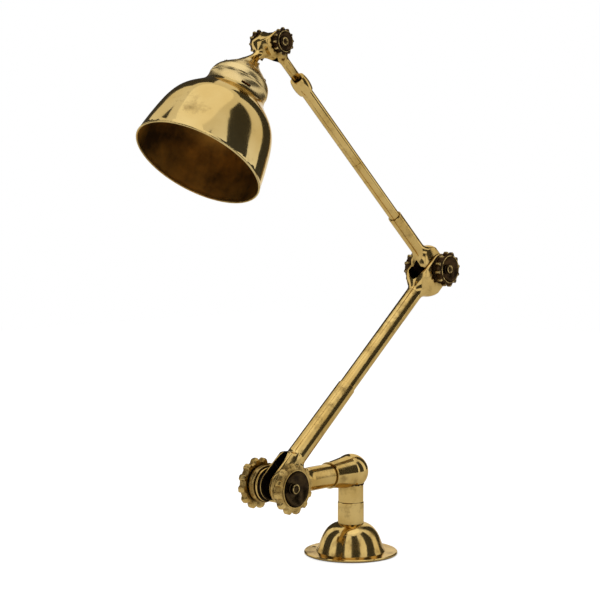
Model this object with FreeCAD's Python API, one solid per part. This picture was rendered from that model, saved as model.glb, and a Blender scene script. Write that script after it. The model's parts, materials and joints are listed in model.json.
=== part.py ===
import FreeCAD, Part
import math
import os

from FreeCAD import Vector

# Articulating brass lamp. Millimetres, +Z up, origin at the centre of the base's mounting face.
# At rest the stub points to -X and every hinge axis lies along Y.

# --- Clearances and small shared sizes ------------------------------------------------------------
WASHER_INSET = 1.0      # how far a friction washer stays inside the fork's round end
RUNNING = 0.05          # radial clearance of a shaft that turns in a bore
SEATED = 0.02           # radial clearance of a piece that is fixed on its shaft
FACE_GAP = 0.1          # axial gap between two faces that turn on each other
SWEEP_GAP = 0.5         # radial gap between a yoke's web and the fork that swings inside it
SEAM = 0.5              # chamfer that shows as a fine dark line where two tubes meet
NUT_STANDOFF = 0.1      # gap under a nut that holds a turning wheel
CUT_PAST = 1.0          # how far a cutting tool reaches past the faces that it cuts

# --- Base -----------------------------------------------------------------------------------------
FLANGE_RADIUS = 55.0
FLANGE_THICKNESS = 3.0
FLANGE_EDGE_BELOW = 0.6
FLANGE_EDGE_ABOVE = 0.8
SCREW_COUNT = 3
SCREW_HOLE_RADIUS = 2.6
SCREW_CIRCLE_RADIUS = 46.5
SCREW_START_ANGLE = 110.0
DOME_WALL = 2.4
DOME_PROFILE = ((40.5, 3.0), (38.4, 7.5), (36.0, 14.0), (32.2, 23.0), (26.4, 30.6), (15.4, 36.0))
COLLAR_RADIUS = 15.4
COLLAR_TOP = 61.0
SPIGOT_RADIUS = 8.0
SPIGOT_BORE_RADIUS = 6.0
SPIGOT_END_DEPTH = 3.0  # how far the base spigot stands down past the dome's wall
SPIGOT_PAST_NUT = 0.5   # how far a spigot stands past its nut in the ball

# --- Ball elbow -----------------------------------------------------------------------------------
BALL_HEIGHT = 97.0
BALL_RADIUS = 20.6
BALL_CAVITY_RADIUS = 14.0
UPPER_COLLAR_RADIUS = 14.9
NUT_SEAT_BELOW = 11.0   # base spigot's nut seat below the ball's centre
NUT_SEAT_BESIDE = 16.0  # cross spigot's nut seat beside the ball's centre
SPIGOT_NUT_RADIUS = 10.5
SPIGOT_NUT_HEIGHT = 3.5
SPIGOT_NUT_ROOM = 0.8   # radial room round a nut in the ball
BOSS_ROOT_RADIUS = 18.9
BOSS_END_RADIUS = 14.9
BOSS_END = 38.0         # distance of the boss's end face from the swivel axis
END_RING_RADIUS = 15.5
END_RING_THICKNESS = 1.9

# --- Stub -----------------------------------------------------------------------------------------
STUB_REACH = 130.0      # swivel axis to the shoulder hinge
STUB_RADIUS = 13.7
STUB_BORE_RADIUS = 11.7
STUB_PLUG_LENGTH = 4.0

# --- Arms -----------------------------------------------------------------------------------------
LOWER_ARM_LENGTH = 368.0
LOWER_ARM_TILT = 50.5   # from the vertical toward +X
SLEEVE_RADIUS_ROOT = 11.6
SLEEVE_RADIUS_TIP = 10.9
SLEEVE_END = 157.5      # distance from the shoulder hinge
SLEEVE_OVERLAP = 90.0
LOWER_TUBE_RADIUS = 9.8
LOWER_TUBE_WALL = 1.5
UPPER_ARM_LENGTH = 386.0
UPPER_ARM_TILT = 48.5   # from the vertical toward -X
SOCKET_RADIUS = 8.3
SOCKET_END = 99.0       # distance from the elbow hinge
SOCKET_OVERLAP = 15.0
SOCKET_STEP = 0.8       # radial step of the bore that the tube seats on
UPPER_TUBE_RADIUS = 6.65
UPPER_TUBE_WALL = 1.2
UPPER_TUBE_SEAM = 194.0  # distance from the elbow hinge
JOINER_LENGTH = 30.0
JOINER_WALL = 1.0

# --- Head swivel, measured from the head hinge back along the upper arm ---------------------------
FERRULE_NEAR = 55.0
FERRULE_FAR = 75.0
FERRULE_RADIUS = 9.9
FERRULE_END_RADIUS = 8.6
FERRULE_TUBE_DEPTH = 6.0
FERRULE_GUIDE = 11.0    # length of the bore that guides the neck
NECK_RADIUS = 5.3
NECK_TAIL_RADIUS = 4.2
NECK_BORE_RADIUS = 3.0
NECK_TAIL = 1.9
RETAINER_RADIUS = 6.3
RETAINER_THICKNESS = 1.5

# --- Shade ----------------------------------------------------------------------------------------
SHADE_TILT = 35.8       # shade axis from straight down toward -X
SHADE_OFFSET = 13.0     # shade axis beyond the head hinge
YOKE_TILT = 54.8        # shade yoke from straight down toward -X
STEM_END_RADIUS = 10.6
STEM_SEAT = 40.0        # distance of the cap's top from the hinge, along the shade's axis
STEM_BORE_RADIUS = 2.8
STEM_SECTIONS = 4
STEM_BEND_POWER = 1.5   # how soon the stem's centre line reaches the shade's axis
STEM_FLARE_POWER = 2.2  # how late the stem widens toward the cap
CAP_WALL = 1.5
CAP_TOP_INSET = 0.3     # how far inside the cap's outline its top plate stays
CAP_PROFILE = ((STEM_SEAT, 10.8), (46.0, 15.4), (52.0, 21.4), (58.0, 27.4), (64.0, 32.0), (71.0, 33.9))
CAP_GROOVE_AT = 53.5
CAP_GROOVE_RADIUS = 23.0
CAP_GROOVE_DEPTH = 0.7
CAP_SCREW_COUNT = 6
CAP_SCREW_AT = 57.5
CAP_SCREW_RADIUS = 1.2
CAP_SCREW_PROUD = 0.3
CAP_SCREW_PAST = 0.6    # how far a screw stands past the cap's wall, inside
CAP_SCREW_START_ANGLE = -50.0
BELL_TOP = 71.0
BELL_WALL = 1.4
BELL_TOP_INSET = 0.2    # how far inside the bell's outline its top plate stays
BELL_PROFILE = ((BELL_TOP, 33.9), (78.0, 33.8), (86.0, 36.4), (94.0, 42.4), (102.0, 50.0), (109.0, 55.6),
                (118.0, 60.2), (130.0, 63.9), (144.0, 66.7), (160.0, 69.3), (174.0, 70.9))
RIM_BEAD_RADIUS = 1.1
VENT_COUNT = 4
VENT_AT = 83.0
VENT_WIDTH = 11.0
VENT_HEIGHT = 3.4
VENT_START_ANGLE = 26.7
SET_SCREW_RADIUS = 1.6
SET_SCREW_AT = 37.4
SET_SCREW_END = 9.8     # distance of its outer end from the shade's axis
SET_SCREW_ANGLE = -126.0

# --- Lampholder -----------------------------------------------------------------------------------
NIPPLE_RADIUS = 5.0
NIPPLE_BORE_RADIUS = 3.4
NIPPLE_START = 35.0
NIPPLE_IN_HOLDER = 4.0  # how far the nipple stands into the holder's cap
HOLDER_TOP = 76.0
HOLDER_RADIUS = 19.0
HOLDER_CAP_HEIGHT = 14.0
HOLDER_CROWN_RADIUS = 11.0
HOLDER_SHOULDER_INSET = 1.5
HOLDER_SHOULDER_AT = 5.0
HOLDER_SIDE_AT = 9.0
HOLDER_CROWN_WALL = 1.4
HOLDER_WALL = 1.0
HOLDER_END = 122.0
HOLDER_LIP = 1.2        # thickness of the turned-in lip at the holder's mouth
HOLDER_MOUTH_ROOM = 1.2  # from the thread insert out to the lip
CERAMIC_BELOW_END = 1.4  # how far the ceramic and the thread lie inside the mouth
WIRE_WAY_RADIUS = 1.6
WIRE_WAY_OFFSET = 9.0
THREAD_RADIUS = 13.5
THREAD_WALL = 0.8
THREAD_DEPTH = 26.0
CERAMIC_FLOOR = 6.0
CONTACT_RADIUS = 5.0
CONTACT_HEIGHT = 1.6
CONTACT_ROOM = 2.0      # room below the thread, where the contact lies
LOCKNUT_RADIUS = 8.5
LOCKNUT_HEIGHT = 3.0

AXIS_X = Vector(1, 0, 0)
AXIS_Y = Vector(0, 1, 0)
AXIS_Z = Vector(0, 0, 1)
ORIGIN = Vector(0, 0, 0)


def eased(share):
    """Smooth step from 0 to 1 with level ends."""
    return share * share * (3 - 2 * share)


def flare_share(distance, start, end):
    """How far the smooth step between two distances has gone, from 0 to 1."""
    return eased(max(0.0, (distance - start) / (end - start)))


class Fork:
    """Sizes of one hollow fork: its hinge lies on the local Y axis and its tube runs up local Z."""

    wall = 2.0                                # thickness of the web and of the round end
    edge = 1.6                                # rounding of the ears' outer edges

    def __init__(self, tube_radius, reach, half_width, ear_thickness, ear_radius, flare_start,
                 slot, web_side):
        self.tube_radius = tube_radius
        self.reach = reach                    # hinge to the end that meets the tube
        self.half_width = half_width
        self.ear_thickness = ear_thickness
        self.ear_radius = ear_radius
        self.flare_start = flare_start        # hinge to where the flat ears start to turn into the tube
        self.slot_straight, self.apex = slot  # where the open side starts to narrow, and where it closes
        self.web_side = web_side              # +1 or -1: the local X side that stays closed

    def inner_half_width(self):
        return self.half_width - self.ear_thickness

    def inner_half_width_at(self, distance):
        """Half of the clear width between the ears at a distance up the tube."""
        share = flare_share(distance, self.flare_start, self.reach)
        return self.inner_half_width() + (self.tube_radius - self.wall - self.inner_half_width()) * share


class Joint:
    """Sizes of one hinge: the yoke is outside, the fork swings inside it, wheels clamp both."""

    def __init__(self, yoke, bolt_radius, washer, drum_end, drum_radius, wheel_thickness, wheel):
        self.yoke = yoke
        self.bolt_radius = bolt_radius
        self.washer = washer
        self.drum_end = drum_end
        self.drum_radius = drum_radius
        self.wheel_start = drum_end + FACE_GAP
        self.wheel_thickness = wheel_thickness
        self.wheel = wheel

    def fork_half_width(self):
        return self.yoke.inner_half_width() - self.washer - FACE_GAP

    def fork_ear_radius(self):
        return self.yoke.ear_radius - self.yoke.wall - SWEEP_GAP


class Wheel:
    """Sizes of one star wheel: a dished disc with lobes round its edge."""

    lobes = 12
    lip_height = 0.7
    lip_width = 1.3
    lip_lean = 0.3                            # how far the lip's inner side leans outward
    rim_fall = 0.3                            # drop of the front face from the lip to the lobes
    bevel = 0.6                               # edge bevel of a lobe beyond its round tip
    round_share = 0.3                         # depth of a lobe's round tip as a share of its width
    seat_margin = 1.5                         # flat ring round the nut at the dish's bottom
    bowl_outward = 1.0                        # middle of the bowl's arc: how far outward,
    bowl_share = 0.28                         # and how far up, as a share of the dish's depth

    def __init__(self, tip_radius, root_radius, lip_radius, dish_depth, tip_width, base_width, nut_radius):
        self.tip_radius = tip_radius
        self.root_radius = root_radius
        self.lip_radius = lip_radius
        self.dish_depth = dish_depth
        self.tip_width = tip_width
        self.base_width = base_width
        self.nut_radius = nut_radius

    def tip_depth(self):
        return self.tip_width * self.round_share


class Nut:
    """Sizes of the round nuts in the wheels' dishes."""

    proud = 0.4                               # how far the raised ring stands out of the wheel
    side_drop = 1.4                           # top of the straight side, below the ring's crest
    shoulder_inset, shoulder_drop = 0.5, 0.4
    crest_inset = 1.2
    inner_inset, inner_drop = 2.0, 0.5
    centre_drop = 1.2                         # depth of the hollow face at the bolt


class Drum:
    """Sizes of the pressure drums between ears and wheels."""

    groove_width = 1.2
    groove_depth = 1.8
    cup_wall = 2.6
    least_walls = 3                           # a drum shorter than this many walls stays solid


SHOULDER = Joint(
    yoke=Fork(tube_radius=STUB_RADIUS, reach=54.0, half_width=13.8, ear_thickness=4.0, ear_radius=19.0,
              flare_start=20.0, slot=(36.0, 46.0), web_side=+1),
    bolt_radius=4.0, washer=0.8, drum_end=22.6, drum_radius=21.0, wheel_thickness=9.5,
    wheel=Wheel(tip_radius=29.0, root_radius=25.4, lip_radius=21.4, dish_depth=6.2, tip_width=4.6,
                base_width=8.6, nut_radius=6.3))
ELBOW = Joint(
    yoke=Fork(tube_radius=LOWER_TUBE_RADIUS, reach=48.0, half_width=15.5, ear_thickness=3.5, ear_radius=19.0,
              flare_start=18.0, slot=(24.0, 36.0), web_side=-1),
    bolt_radius=3.0, washer=0.8, drum_end=20.4, drum_radius=18.4, wheel_thickness=8.0,
    wheel=Wheel(tip_radius=22.0, root_radius=18.6, lip_radius=17.2, dish_depth=5.0, tip_width=1.4,
                base_width=5.6, nut_radius=5.9))
HEAD = Joint(
    yoke=Fork(tube_radius=5.0, reach=28.0, half_width=12.0, ear_thickness=2.8, ear_radius=12.4,
              flare_start=11.0, slot=(11.0, 24.0), web_side=+1),
    bolt_radius=2.5, washer=0.8, drum_end=14.8, drum_radius=11.6, wheel_thickness=6.2,
    wheel=Wheel(tip_radius=15.4, root_radius=12.9, lip_radius=11.7, dish_depth=3.2, tip_width=1.0,
                base_width=4.0, nut_radius=5.4))

SHOULDER_FORK = Fork(tube_radius=SLEEVE_RADIUS_ROOT, reach=46.0, half_width=SHOULDER.fork_half_width(),
                     ear_thickness=2.4, ear_radius=SHOULDER.fork_ear_radius(), flare_start=32.0,
                     slot=(19.0, 42.0), web_side=+1)
ELBOW_FORK = Fork(tube_radius=SOCKET_RADIUS, reach=40.0, half_width=ELBOW.fork_half_width(),
                  ear_thickness=2.4, ear_radius=ELBOW.fork_ear_radius(), flare_start=17.0,
                  slot=(14.0, 31.0), web_side=+1)
HEAD_FORK = Fork(tube_radius=NECK_RADIUS, reach=30.0, half_width=HEAD.fork_half_width(),
                 ear_thickness=2.2, ear_radius=HEAD.fork_ear_radius(), flare_start=10.0,
                 slot=(10.0, 22.0), web_side=-1)


def direction(angle):
    """Unit vector in the XZ plane, turned by angle degrees from +Z toward +X."""
    return Vector(math.sin(math.radians(angle)), 0, math.cos(math.radians(angle)))


SHOULDER_POINT = Vector(-STUB_REACH, 0, BALL_HEIGHT)
ELBOW_POINT = SHOULDER_POINT + direction(LOWER_ARM_TILT) * LOWER_ARM_LENGTH
HEAD_POINT = ELBOW_POINT + direction(-UPPER_ARM_TILT) * UPPER_ARM_LENGTH


# --- Shape helpers --------------------------------------------------------------------------------

def cylinder(radius, start, end, axis=AXIS_Z, centre=ORIGIN):
    """Solid cylinder between two distances from centre along axis."""
    return Part.makeCylinder(radius, end - start, centre + axis * start, axis)


def ring(outer, inner, start, end, axis=AXIS_Z, centre=ORIGIN):
    """Hollow cylinder between two distances from centre along axis."""
    bore = cylinder(inner, start - CUT_PAST, end + CUT_PAST, axis, centre)
    return cylinder(outer, start, end, axis, centre).cut(bore)


def placed(shape, angle, point):
    """Copy of a shape made round local Z, turned about Y by angle and moved to point."""
    turned = shape.copy()
    turned.Placement = FreeCAD.Placement(point, FreeCAD.Rotation(AXIS_Y, angle)).multiply(shape.Placement)
    return turned


def face_between(edges):
    return Part.Face(Part.Wire(Part.__sortEdges__(edges)))


def polyline(points):
    return [Part.makeLine(a, b) for a, b in zip(points, points[1:])]


def turned_solid(outline, axis=AXIS_Z):
    """Solid of revolution of a closed outline about an axis through the origin."""
    return Part.Face(Part.makePolygon(outline + [outline[0]])).revolve(ORIGIN, axis, 360)


def profile_curve(profile):
    """Smooth curve through (distance, radius) pairs, drawn in the XZ plane as (radius, distance)."""
    curve = Part.BSplineCurve()
    curve.interpolate([Vector(radius, 0, distance) for distance, radius in profile])
    return curve


def offset_curve(curve, wall, samples=24):
    """Smooth curve that follows another one at the wall's thickness, on the axis side."""
    points = []
    for step in range(samples + 1):
        at = curve.FirstParameter + (curve.LastParameter - curve.FirstParameter) * step / samples
        run = curve.tangent(at)[0]
        points.append(curve.value(at) + Vector(-run.z, 0, run.x) * wall)
    inner = Part.BSplineCurve()
    inner.interpolate(points)
    return inner


def spun_shell(profile, wall):
    """Thin shell of revolution about Z under a smooth outer profile."""
    outer = profile_curve(profile)
    inner = offset_curve(outer, wall)
    edges = [outer.toShape(), inner.toShape(),
             Part.makeLine(outer.value(outer.FirstParameter), inner.value(inner.FirstParameter)),
             Part.makeLine(outer.value(outer.LastParameter), inner.value(inner.LastParameter))]
    return face_between(edges).revolve(ORIGIN, AXIS_Z, 360)


def around(shape, count, start_angle=0.0):
    """Copies of a shape spaced evenly about the Z axis."""
    copies = []
    for index in range(count):
        copy = shape.copy()
        copy.rotate(ORIGIN, AXIS_Z, start_angle + 360.0 * index / count)
        copies.append(copy)
    return copies


def hexagon(radius, start, end, bore, axis=AXIS_Z, centre=ORIGIN):
    """Six-sided nut with a round bore."""
    corners = [Vector(radius * math.cos(math.radians(60 * k)), radius * math.sin(math.radians(60 * k)), start)
               for k in range(7)]
    body = Part.Face(Part.makePolygon(corners)).extrude(AXIS_Z * (end - start))
    body.Placement = FreeCAD.Placement(centre, FreeCAD.Rotation(AXIS_Z, axis))
    return body.cut(cylinder(bore, start - CUT_PAST, end + CUT_PAST, axis, centre))


def rounded_section(half_x, half_y, corner, height):
    """Rounded rectangle in the plane z = height, made of four lines and four arcs."""
    wires = []
    diagonal = corner * math.sqrt(0.5)
    for sign_x, sign_y in ((1, 1), (-1, 1), (-1, -1), (1, -1)):
        centre = Vector(sign_x * (half_x - corner), sign_y * (half_y - corner), height)
        side_point = centre + Vector(sign_x * corner, 0, 0)
        top_point = centre + Vector(0, sign_y * corner, 0)
        middle = centre + Vector(sign_x * diagonal, sign_y * diagonal, 0)
        ends = (side_point, top_point) if sign_x == sign_y else (top_point, side_point)
        wires.append((ends[0], middle, ends[1]))
    edges = []
    for index, (first, middle, last) in enumerate(wires):
        edges.append(Part.Arc(first, middle, last).toShape())
        edges.append(Part.makeLine(last, wires[(index + 1) % 4][0]))
    return Part.Wire(edges)


def cut_in_turn(body, tools):
    """Cuts one tool after another, which holds up better than one cut with them all."""
    for tool in tools:
        body = body.cut(tool)
    return body


# --- Forks ----------------------------------------------------------------------------------------

EDGE_INNER = 0.6        # corner radius of a fork's hollow
ARCH_BULGE = 0.6        # slot width two thirds of the way up its arch, as a share of its straight part
RUN_OUT_STEP = 0.4      # how far inside the flats their conical run-out starts


def flared_bar(tube_radius, half_width, ear_radius, flare_start, reach):
    """Turned bar about Z that narrows with a smooth S-curve from the ears to the tube."""
    full = math.hypot(half_width, ear_radius)
    curve = Part.BSplineCurve()
    middle = (flare_start + reach) / 2
    curve.interpolate(Points=[Vector(full, 0, flare_start), Vector((full + tube_radius) / 2, 0, middle),
                              Vector(tube_radius, 0, reach)],
                      InitialTangent=Vector(0, 0, 1), FinalTangent=Vector(0, 0, 1))
    edges = [curve.toShape()] + polyline([
        Vector(tube_radius, 0, reach), Vector(0, 0, reach), Vector(0, 0, -full),
        Vector(full, 0, -full), Vector(full, 0, flare_start)])
    return face_between(edges).revolve(ORIGIN, AXIS_Z, 360)


def fork_body(fork, inset, ear_inset, edge):
    """Turned bar milled to two flats and a round end about the hinge axis, less an inset all round."""
    tube_radius = fork.tube_radius - inset
    half_width = fork.half_width - ear_inset
    ear_radius = fork.ear_radius - inset
    section = Part.Face(rounded_section(ear_radius, half_width, edge, 0))
    flats = section.extrude(AXIS_Z * fork.reach)
    half_section = section.common(Part.makeBox(2 * ear_radius, 4 * half_width, 1,
                                               Vector(0, -2 * half_width, -0.5)))
    milled = flats.fuse(half_section.revolve(ORIGIN, AXIS_Y, 180))
    if tube_radius > half_width:
        milled = milled.fuse(Part.makeCone(half_width - RUN_OUT_STEP, tube_radius + RUN_OUT_STEP,
                                           fork.reach - fork.flare_start, Vector(0, 0, fork.flare_start)))
    return flared_bar(tube_radius, half_width, ear_radius, fork.flare_start, fork.reach).common(milled)


def fork_opening(fork):
    """Pointed slot in the open side, and the whole space between the ears past the hinge."""
    inner = fork.inner_half_width()
    far = 2 * fork.ear_radius
    knee = fork.slot_straight
    knee_width = fork.inner_half_width_at(knee)
    bulge_width, bulge = knee_width * ARCH_BULGE, (knee + 2 * fork.apex) / 3
    tip = Vector(0, 0, fork.apex)
    arcs = [Part.Arc(Vector(0, side * knee_width, knee), Vector(0, side * bulge_width, bulge), tip).toShape()
            for side in (-1, 1)]
    lines = polyline([Vector(0, -knee_width, knee), Vector(0, -inner, 0), Vector(0, -inner, -far),
                      Vector(0, inner, -far), Vector(0, inner, 0), Vector(0, knee_width, knee)])
    slot = face_between(arcs + lines).extrude(AXIS_X * (-fork.web_side * far))
    end = Part.makeBox(2 * far, 2 * inner, far, Vector(-far, -inner, -far))
    return slot, end


def fork_shape(fork, bore_radius):
    """Hollow fork: two ears on the hinge, a web on one side, and a round end for the tube."""
    body = fork_body(fork, 0.0, 0.0, fork.edge)
    cavity = fork_body(fork, fork.wall, fork.ear_thickness, EDGE_INNER)
    mouth = cylinder(fork.tube_radius - fork.wall, fork.reach - CUT_PAST, fork.reach + CUT_PAST)
    slot, end = fork_opening(fork)
    bore = cylinder(bore_radius, -2 * fork.half_width, 2 * fork.half_width, AXIS_Y)
    return cut_in_turn(body, [end, slot, cavity, mouth, bore])


# --- Wheels and joint hardware --------------------------------------------------------------------

def star_outline(wheel):
    """Closed outline of the star in the XZ plane: lobes with round tips on a round root."""
    def at(radius, angle):
        return Vector(radius * math.cos(angle), 0, radius * math.sin(angle))
    edges = []
    pitch = 2 * math.pi / wheel.lobes
    base_half = wheel.base_width / 2 / wheel.root_radius
    tip_half = wheel.tip_width / 2 / wheel.tip_radius
    shoulder_radius = wheel.tip_radius - wheel.tip_depth()
    for index in range(wheel.lobes):
        middle = index * pitch
        foot = at(wheel.root_radius, middle - base_half)
        rise = at(shoulder_radius, middle - tip_half)
        fall = at(shoulder_radius, middle + tip_half)
        heel = at(wheel.root_radius, middle + base_half)
        following = at(wheel.root_radius, middle + pitch - base_half)
        edges += [Part.makeLine(foot, rise), Part.Arc(rise, at(wheel.tip_radius, middle), fall).toShape(),
                  Part.makeLine(fall, heel),
                  Part.Arc(heel, at(wheel.root_radius, middle + pitch / 2), following).toShape()]
    return Part.Wire(edges)


def wheel_shape(joint, side):
    """Star wheel whose dished face looks outward on one side of the hinge (-1 front, +1 back)."""
    wheel = joint.wheel
    start = joint.wheel_start
    front = start + joint.wheel_thickness
    star_height = joint.wheel_thickness + wheel.lip_height + CUT_PAST
    star = Part.Face(star_outline(wheel)).extrude(AXIS_Y * star_height)
    star.translate(AXIS_Y * start)
    seat_radius = wheel.nut_radius + wheel.seat_margin
    dish_edge = wheel.lip_radius - wheel.lip_width
    floor = front - wheel.dish_depth
    bowl = Part.Arc(Vector(seat_radius, floor, 0),
                    Vector((seat_radius + dish_edge) / 2 + wheel.bowl_outward,
                           floor + wheel.dish_depth * wheel.bowl_share, 0),
                    Vector(dish_edge, front, 0)).toShape()
    bevel = wheel.tip_depth() + wheel.bevel
    outline = [Vector(dish_edge, front, 0), Vector(dish_edge + wheel.lip_lean, front + wheel.lip_height, 0),
               Vector(wheel.lip_radius, front + wheel.lip_height, 0), Vector(wheel.lip_radius, front, 0),
               Vector(wheel.root_radius, front - wheel.rim_fall, 0),
               Vector(wheel.tip_radius, front - bevel, 0),
               Vector(wheel.tip_radius, start + bevel, 0), Vector(wheel.root_radius, start, 0),
               Vector(0, start, 0), Vector(0, floor, 0), Vector(seat_radius, floor, 0)]
    disc = face_between([bowl] + polyline(outline)).revolve(ORIGIN, AXIS_Y, 360)
    shape = disc.common(star)
    shape = shape.cut(cylinder(joint.bolt_radius + RUNNING, start - CUT_PAST, front + CUT_PAST, AXIS_Y))
    return shape if side > 0 else shape.rotated(ORIGIN, AXIS_Z, 180)


def nut_shape(joint, side):
    """Round nut in the wheel's dish, with a raised ring edge and a hollow face."""
    wheel = joint.wheel
    front = joint.wheel_start + joint.wheel_thickness
    start = front - wheel.dish_depth + NUT_STANDOFF
    radius = wheel.nut_radius
    end = front + Nut.proud
    bore = joint.bolt_radius + SEATED
    outline = [Vector(bore, start, 0), Vector(radius, start, 0), Vector(radius, end - Nut.side_drop, 0),
               Vector(radius - Nut.shoulder_inset, end - Nut.shoulder_drop, 0),
               Vector(radius - Nut.crest_inset, end, 0),
               Vector(radius - Nut.inner_inset, end - Nut.inner_drop, 0),
               Vector(bore, end - Nut.centre_drop, 0)]
    nut = turned_solid(outline, AXIS_Y)
    return nut if side > 0 else nut.rotated(ORIGIN, AXIS_Z, 180)


def drum_shape(joint, side):
    """Pressure drum between a yoke's ear and its wheel: a cup with a groove at the wheel's side."""
    start = joint.yoke.half_width
    end = joint.drum_end
    radius = joint.drum_radius
    wall = Drum.cup_wall
    body = cylinder(radius, start, end - Drum.groove_width, AXIS_Y)
    body = body.fuse(cylinder(radius - Drum.groove_depth, end - Drum.groove_width, end, AXIS_Y))
    if end - start > Drum.least_walls * wall:
        body = body.cut(ring(radius - wall, joint.bolt_radius + wall, start - CUT_PAST, end - wall, AXIS_Y))
    body = body.cut(cylinder(joint.bolt_radius + SEATED, start - CUT_PAST, end + CUT_PAST, AXIS_Y))
    return body if side > 0 else body.rotated(ORIGIN, AXIS_Z, 180)


def bolt_shape(joint):
    """Plain bolt through the whole hinge, from nut face to nut face."""
    half = joint.wheel_start + joint.wheel_thickness + Nut.proud - Nut.centre_drop
    return cylinder(joint.bolt_radius, -half, half, AXIS_Y)


def washers_shape(joint):
    """Two friction washers between the yoke's ears and the fork's ears."""
    inner = joint.yoke.inner_half_width()
    radius = joint.fork_ear_radius() - WASHER_INSET
    pair = []
    for side in (-1, 1):
        near = inner - FACE_GAP / 2 - joint.washer
        far = inner - FACE_GAP / 2
        start, end = (near, far) if side > 0 else (-far, -near)
        pair.append(ring(radius, joint.bolt_radius + RUNNING, start, end, AXIS_Y))
    return Part.makeCompound(pair)


# --- Base and swivel ------------------------------------------------------------------------------

def base_canopy():
    """Round flange with screw holes under a hollow dome."""
    curve = profile_curve([(height, radius) for radius, height in DOME_PROFILE])
    foot, top = DOME_PROFILE[0], DOME_PROFILE[-1]
    edges = [curve.toShape()] + polyline([
        Vector(top[0], 0, top[1]), Vector(0, 0, top[1]), Vector(0, 0, 0),
        Vector(FLANGE_RADIUS - FLANGE_EDGE_BELOW, 0, 0), Vector(FLANGE_RADIUS, 0, FLANGE_EDGE_BELOW),
        Vector(FLANGE_RADIUS, 0, FLANGE_THICKNESS - FLANGE_EDGE_ABOVE),
        Vector(FLANGE_RADIUS - FLANGE_EDGE_ABOVE, 0, FLANGE_THICKNESS), Vector(foot[0], 0, foot[1])])
    body = face_between(edges).revolve(ORIGIN, AXIS_Z, 360)
    inner = offset_curve(curve, DOME_WALL)
    first, last = inner.value(inner.FirstParameter), inner.value(inner.LastParameter)
    hollow = face_between([inner.toShape()] + polyline([
        last, Vector(0, 0, last.z), Vector(0, 0, -CUT_PAST), Vector(first.x, 0, -CUT_PAST), first]))
    body = body.cut(hollow.revolve(ORIGIN, AXIS_Z, 360))
    hole = cylinder(SCREW_HOLE_RADIUS, -CUT_PAST, FLANGE_THICKNESS + CUT_PAST,
                    centre=Vector(SCREW_CIRCLE_RADIUS, 0, 0))
    passage = cylinder(SPIGOT_RADIUS + SEATED, 0, top[1] + CUT_PAST)
    return body.cut(around(hole, SCREW_COUNT, SCREW_START_ANGLE) + [passage])


def base_collar():
    start = DOME_PROFILE[-1][1]
    outline = [Vector(SPIGOT_RADIUS + SEATED, 0, start), Vector(COLLAR_RADIUS, 0, start),
               Vector(COLLAR_RADIUS, 0, COLLAR_TOP - SEAM), Vector(COLLAR_RADIUS - SEAM, 0, COLLAR_TOP),
               Vector(SPIGOT_RADIUS + SEATED, 0, COLLAR_TOP)]
    return turned_solid(outline)


def base_spigot():
    start = DOME_PROFILE[-1][1] - DOME_WALL - SPIGOT_END_DEPTH
    end = BALL_HEIGHT - NUT_SEAT_BELOW + SPIGOT_NUT_HEIGHT + FACE_GAP + SPIGOT_PAST_NUT
    return ring(SPIGOT_RADIUS, SPIGOT_BORE_RADIUS, start, end)


def base_spigot_nut():
    start = BALL_HEIGHT - NUT_SEAT_BELOW + FACE_GAP
    return hexagon(SPIGOT_NUT_RADIUS, start, start + SPIGOT_NUT_HEIGHT, SPIGOT_RADIUS + SEATED)


def ball_centre():
    return Vector(0, 0, BALL_HEIGHT)


def swivel_collar():
    start = COLLAR_TOP + FACE_GAP
    outline = [Vector(SPIGOT_RADIUS + RUNNING, 0, start), Vector(UPPER_COLLAR_RADIUS - SEAM, 0, start),
               Vector(UPPER_COLLAR_RADIUS, 0, start + SEAM), Vector(UPPER_COLLAR_RADIUS, 0, BALL_HEIGHT),
               Vector(SPIGOT_RADIUS + RUNNING, 0, BALL_HEIGHT)]
    return turned_solid(outline).cut(ball_body())


def ball_body():
    """Solid ball with the tapered boss on its side."""
    centre = ball_centre()
    left = Vector(-1, 0, 0)
    root = math.sqrt(BALL_RADIUS ** 2 - BOSS_ROOT_RADIUS ** 2)
    boss = Part.makeCone(BOSS_ROOT_RADIUS, BOSS_END_RADIUS, BOSS_END - root, centre + left * root, left)
    return Part.makeSphere(BALL_RADIUS, centre).fuse(boss)


def elbow_ball():
    """Ball with a side boss: both spigots enter it and their nuts sit in its hollow."""
    centre = ball_centre()
    left = Vector(-1, 0, 0)
    nut_room = SPIGOT_NUT_RADIUS + SPIGOT_NUT_ROOM
    tools = [Part.makeSphere(BALL_CAVITY_RADIUS, centre),
             cylinder(SPIGOT_RADIUS + RUNNING, -BALL_RADIUS - CUT_PAST, 0, centre=centre),
             cylinder(nut_room, -NUT_SEAT_BELOW, 0, centre=centre),
             cylinder(SPIGOT_RADIUS + RUNNING, 0, BOSS_END + CUT_PAST, left, centre),
             cylinder(nut_room, 0, NUT_SEAT_BESIDE, left, centre)]
    return ball_body().cut(tools)


def boss_ring():
    return ring(END_RING_RADIUS, SPIGOT_RADIUS + RUNNING, BOSS_END, BOSS_END + END_RING_THICKNESS,
                Vector(-1, 0, 0), ball_centre())


# --- Stub -----------------------------------------------------------------------------------------

def stub_start():
    return BOSS_END + END_RING_THICKNESS + FACE_GAP


def stub_spigot():
    left = Vector(-1, 0, 0)
    inner_end = NUT_SEAT_BESIDE - SPIGOT_NUT_HEIGHT - FACE_GAP - SPIGOT_PAST_NUT
    start = stub_start()
    end = start + STUB_PLUG_LENGTH
    shaft = cylinder(SPIGOT_RADIUS, inner_end, end, left, ball_centre())
    plug = cylinder(STUB_BORE_RADIUS - SEATED, start, end, left, ball_centre())
    bore = cylinder(SPIGOT_BORE_RADIUS, inner_end - CUT_PAST, end + CUT_PAST, left, ball_centre())
    return shaft.fuse(plug).cut(bore).removeSplitter()


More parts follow.
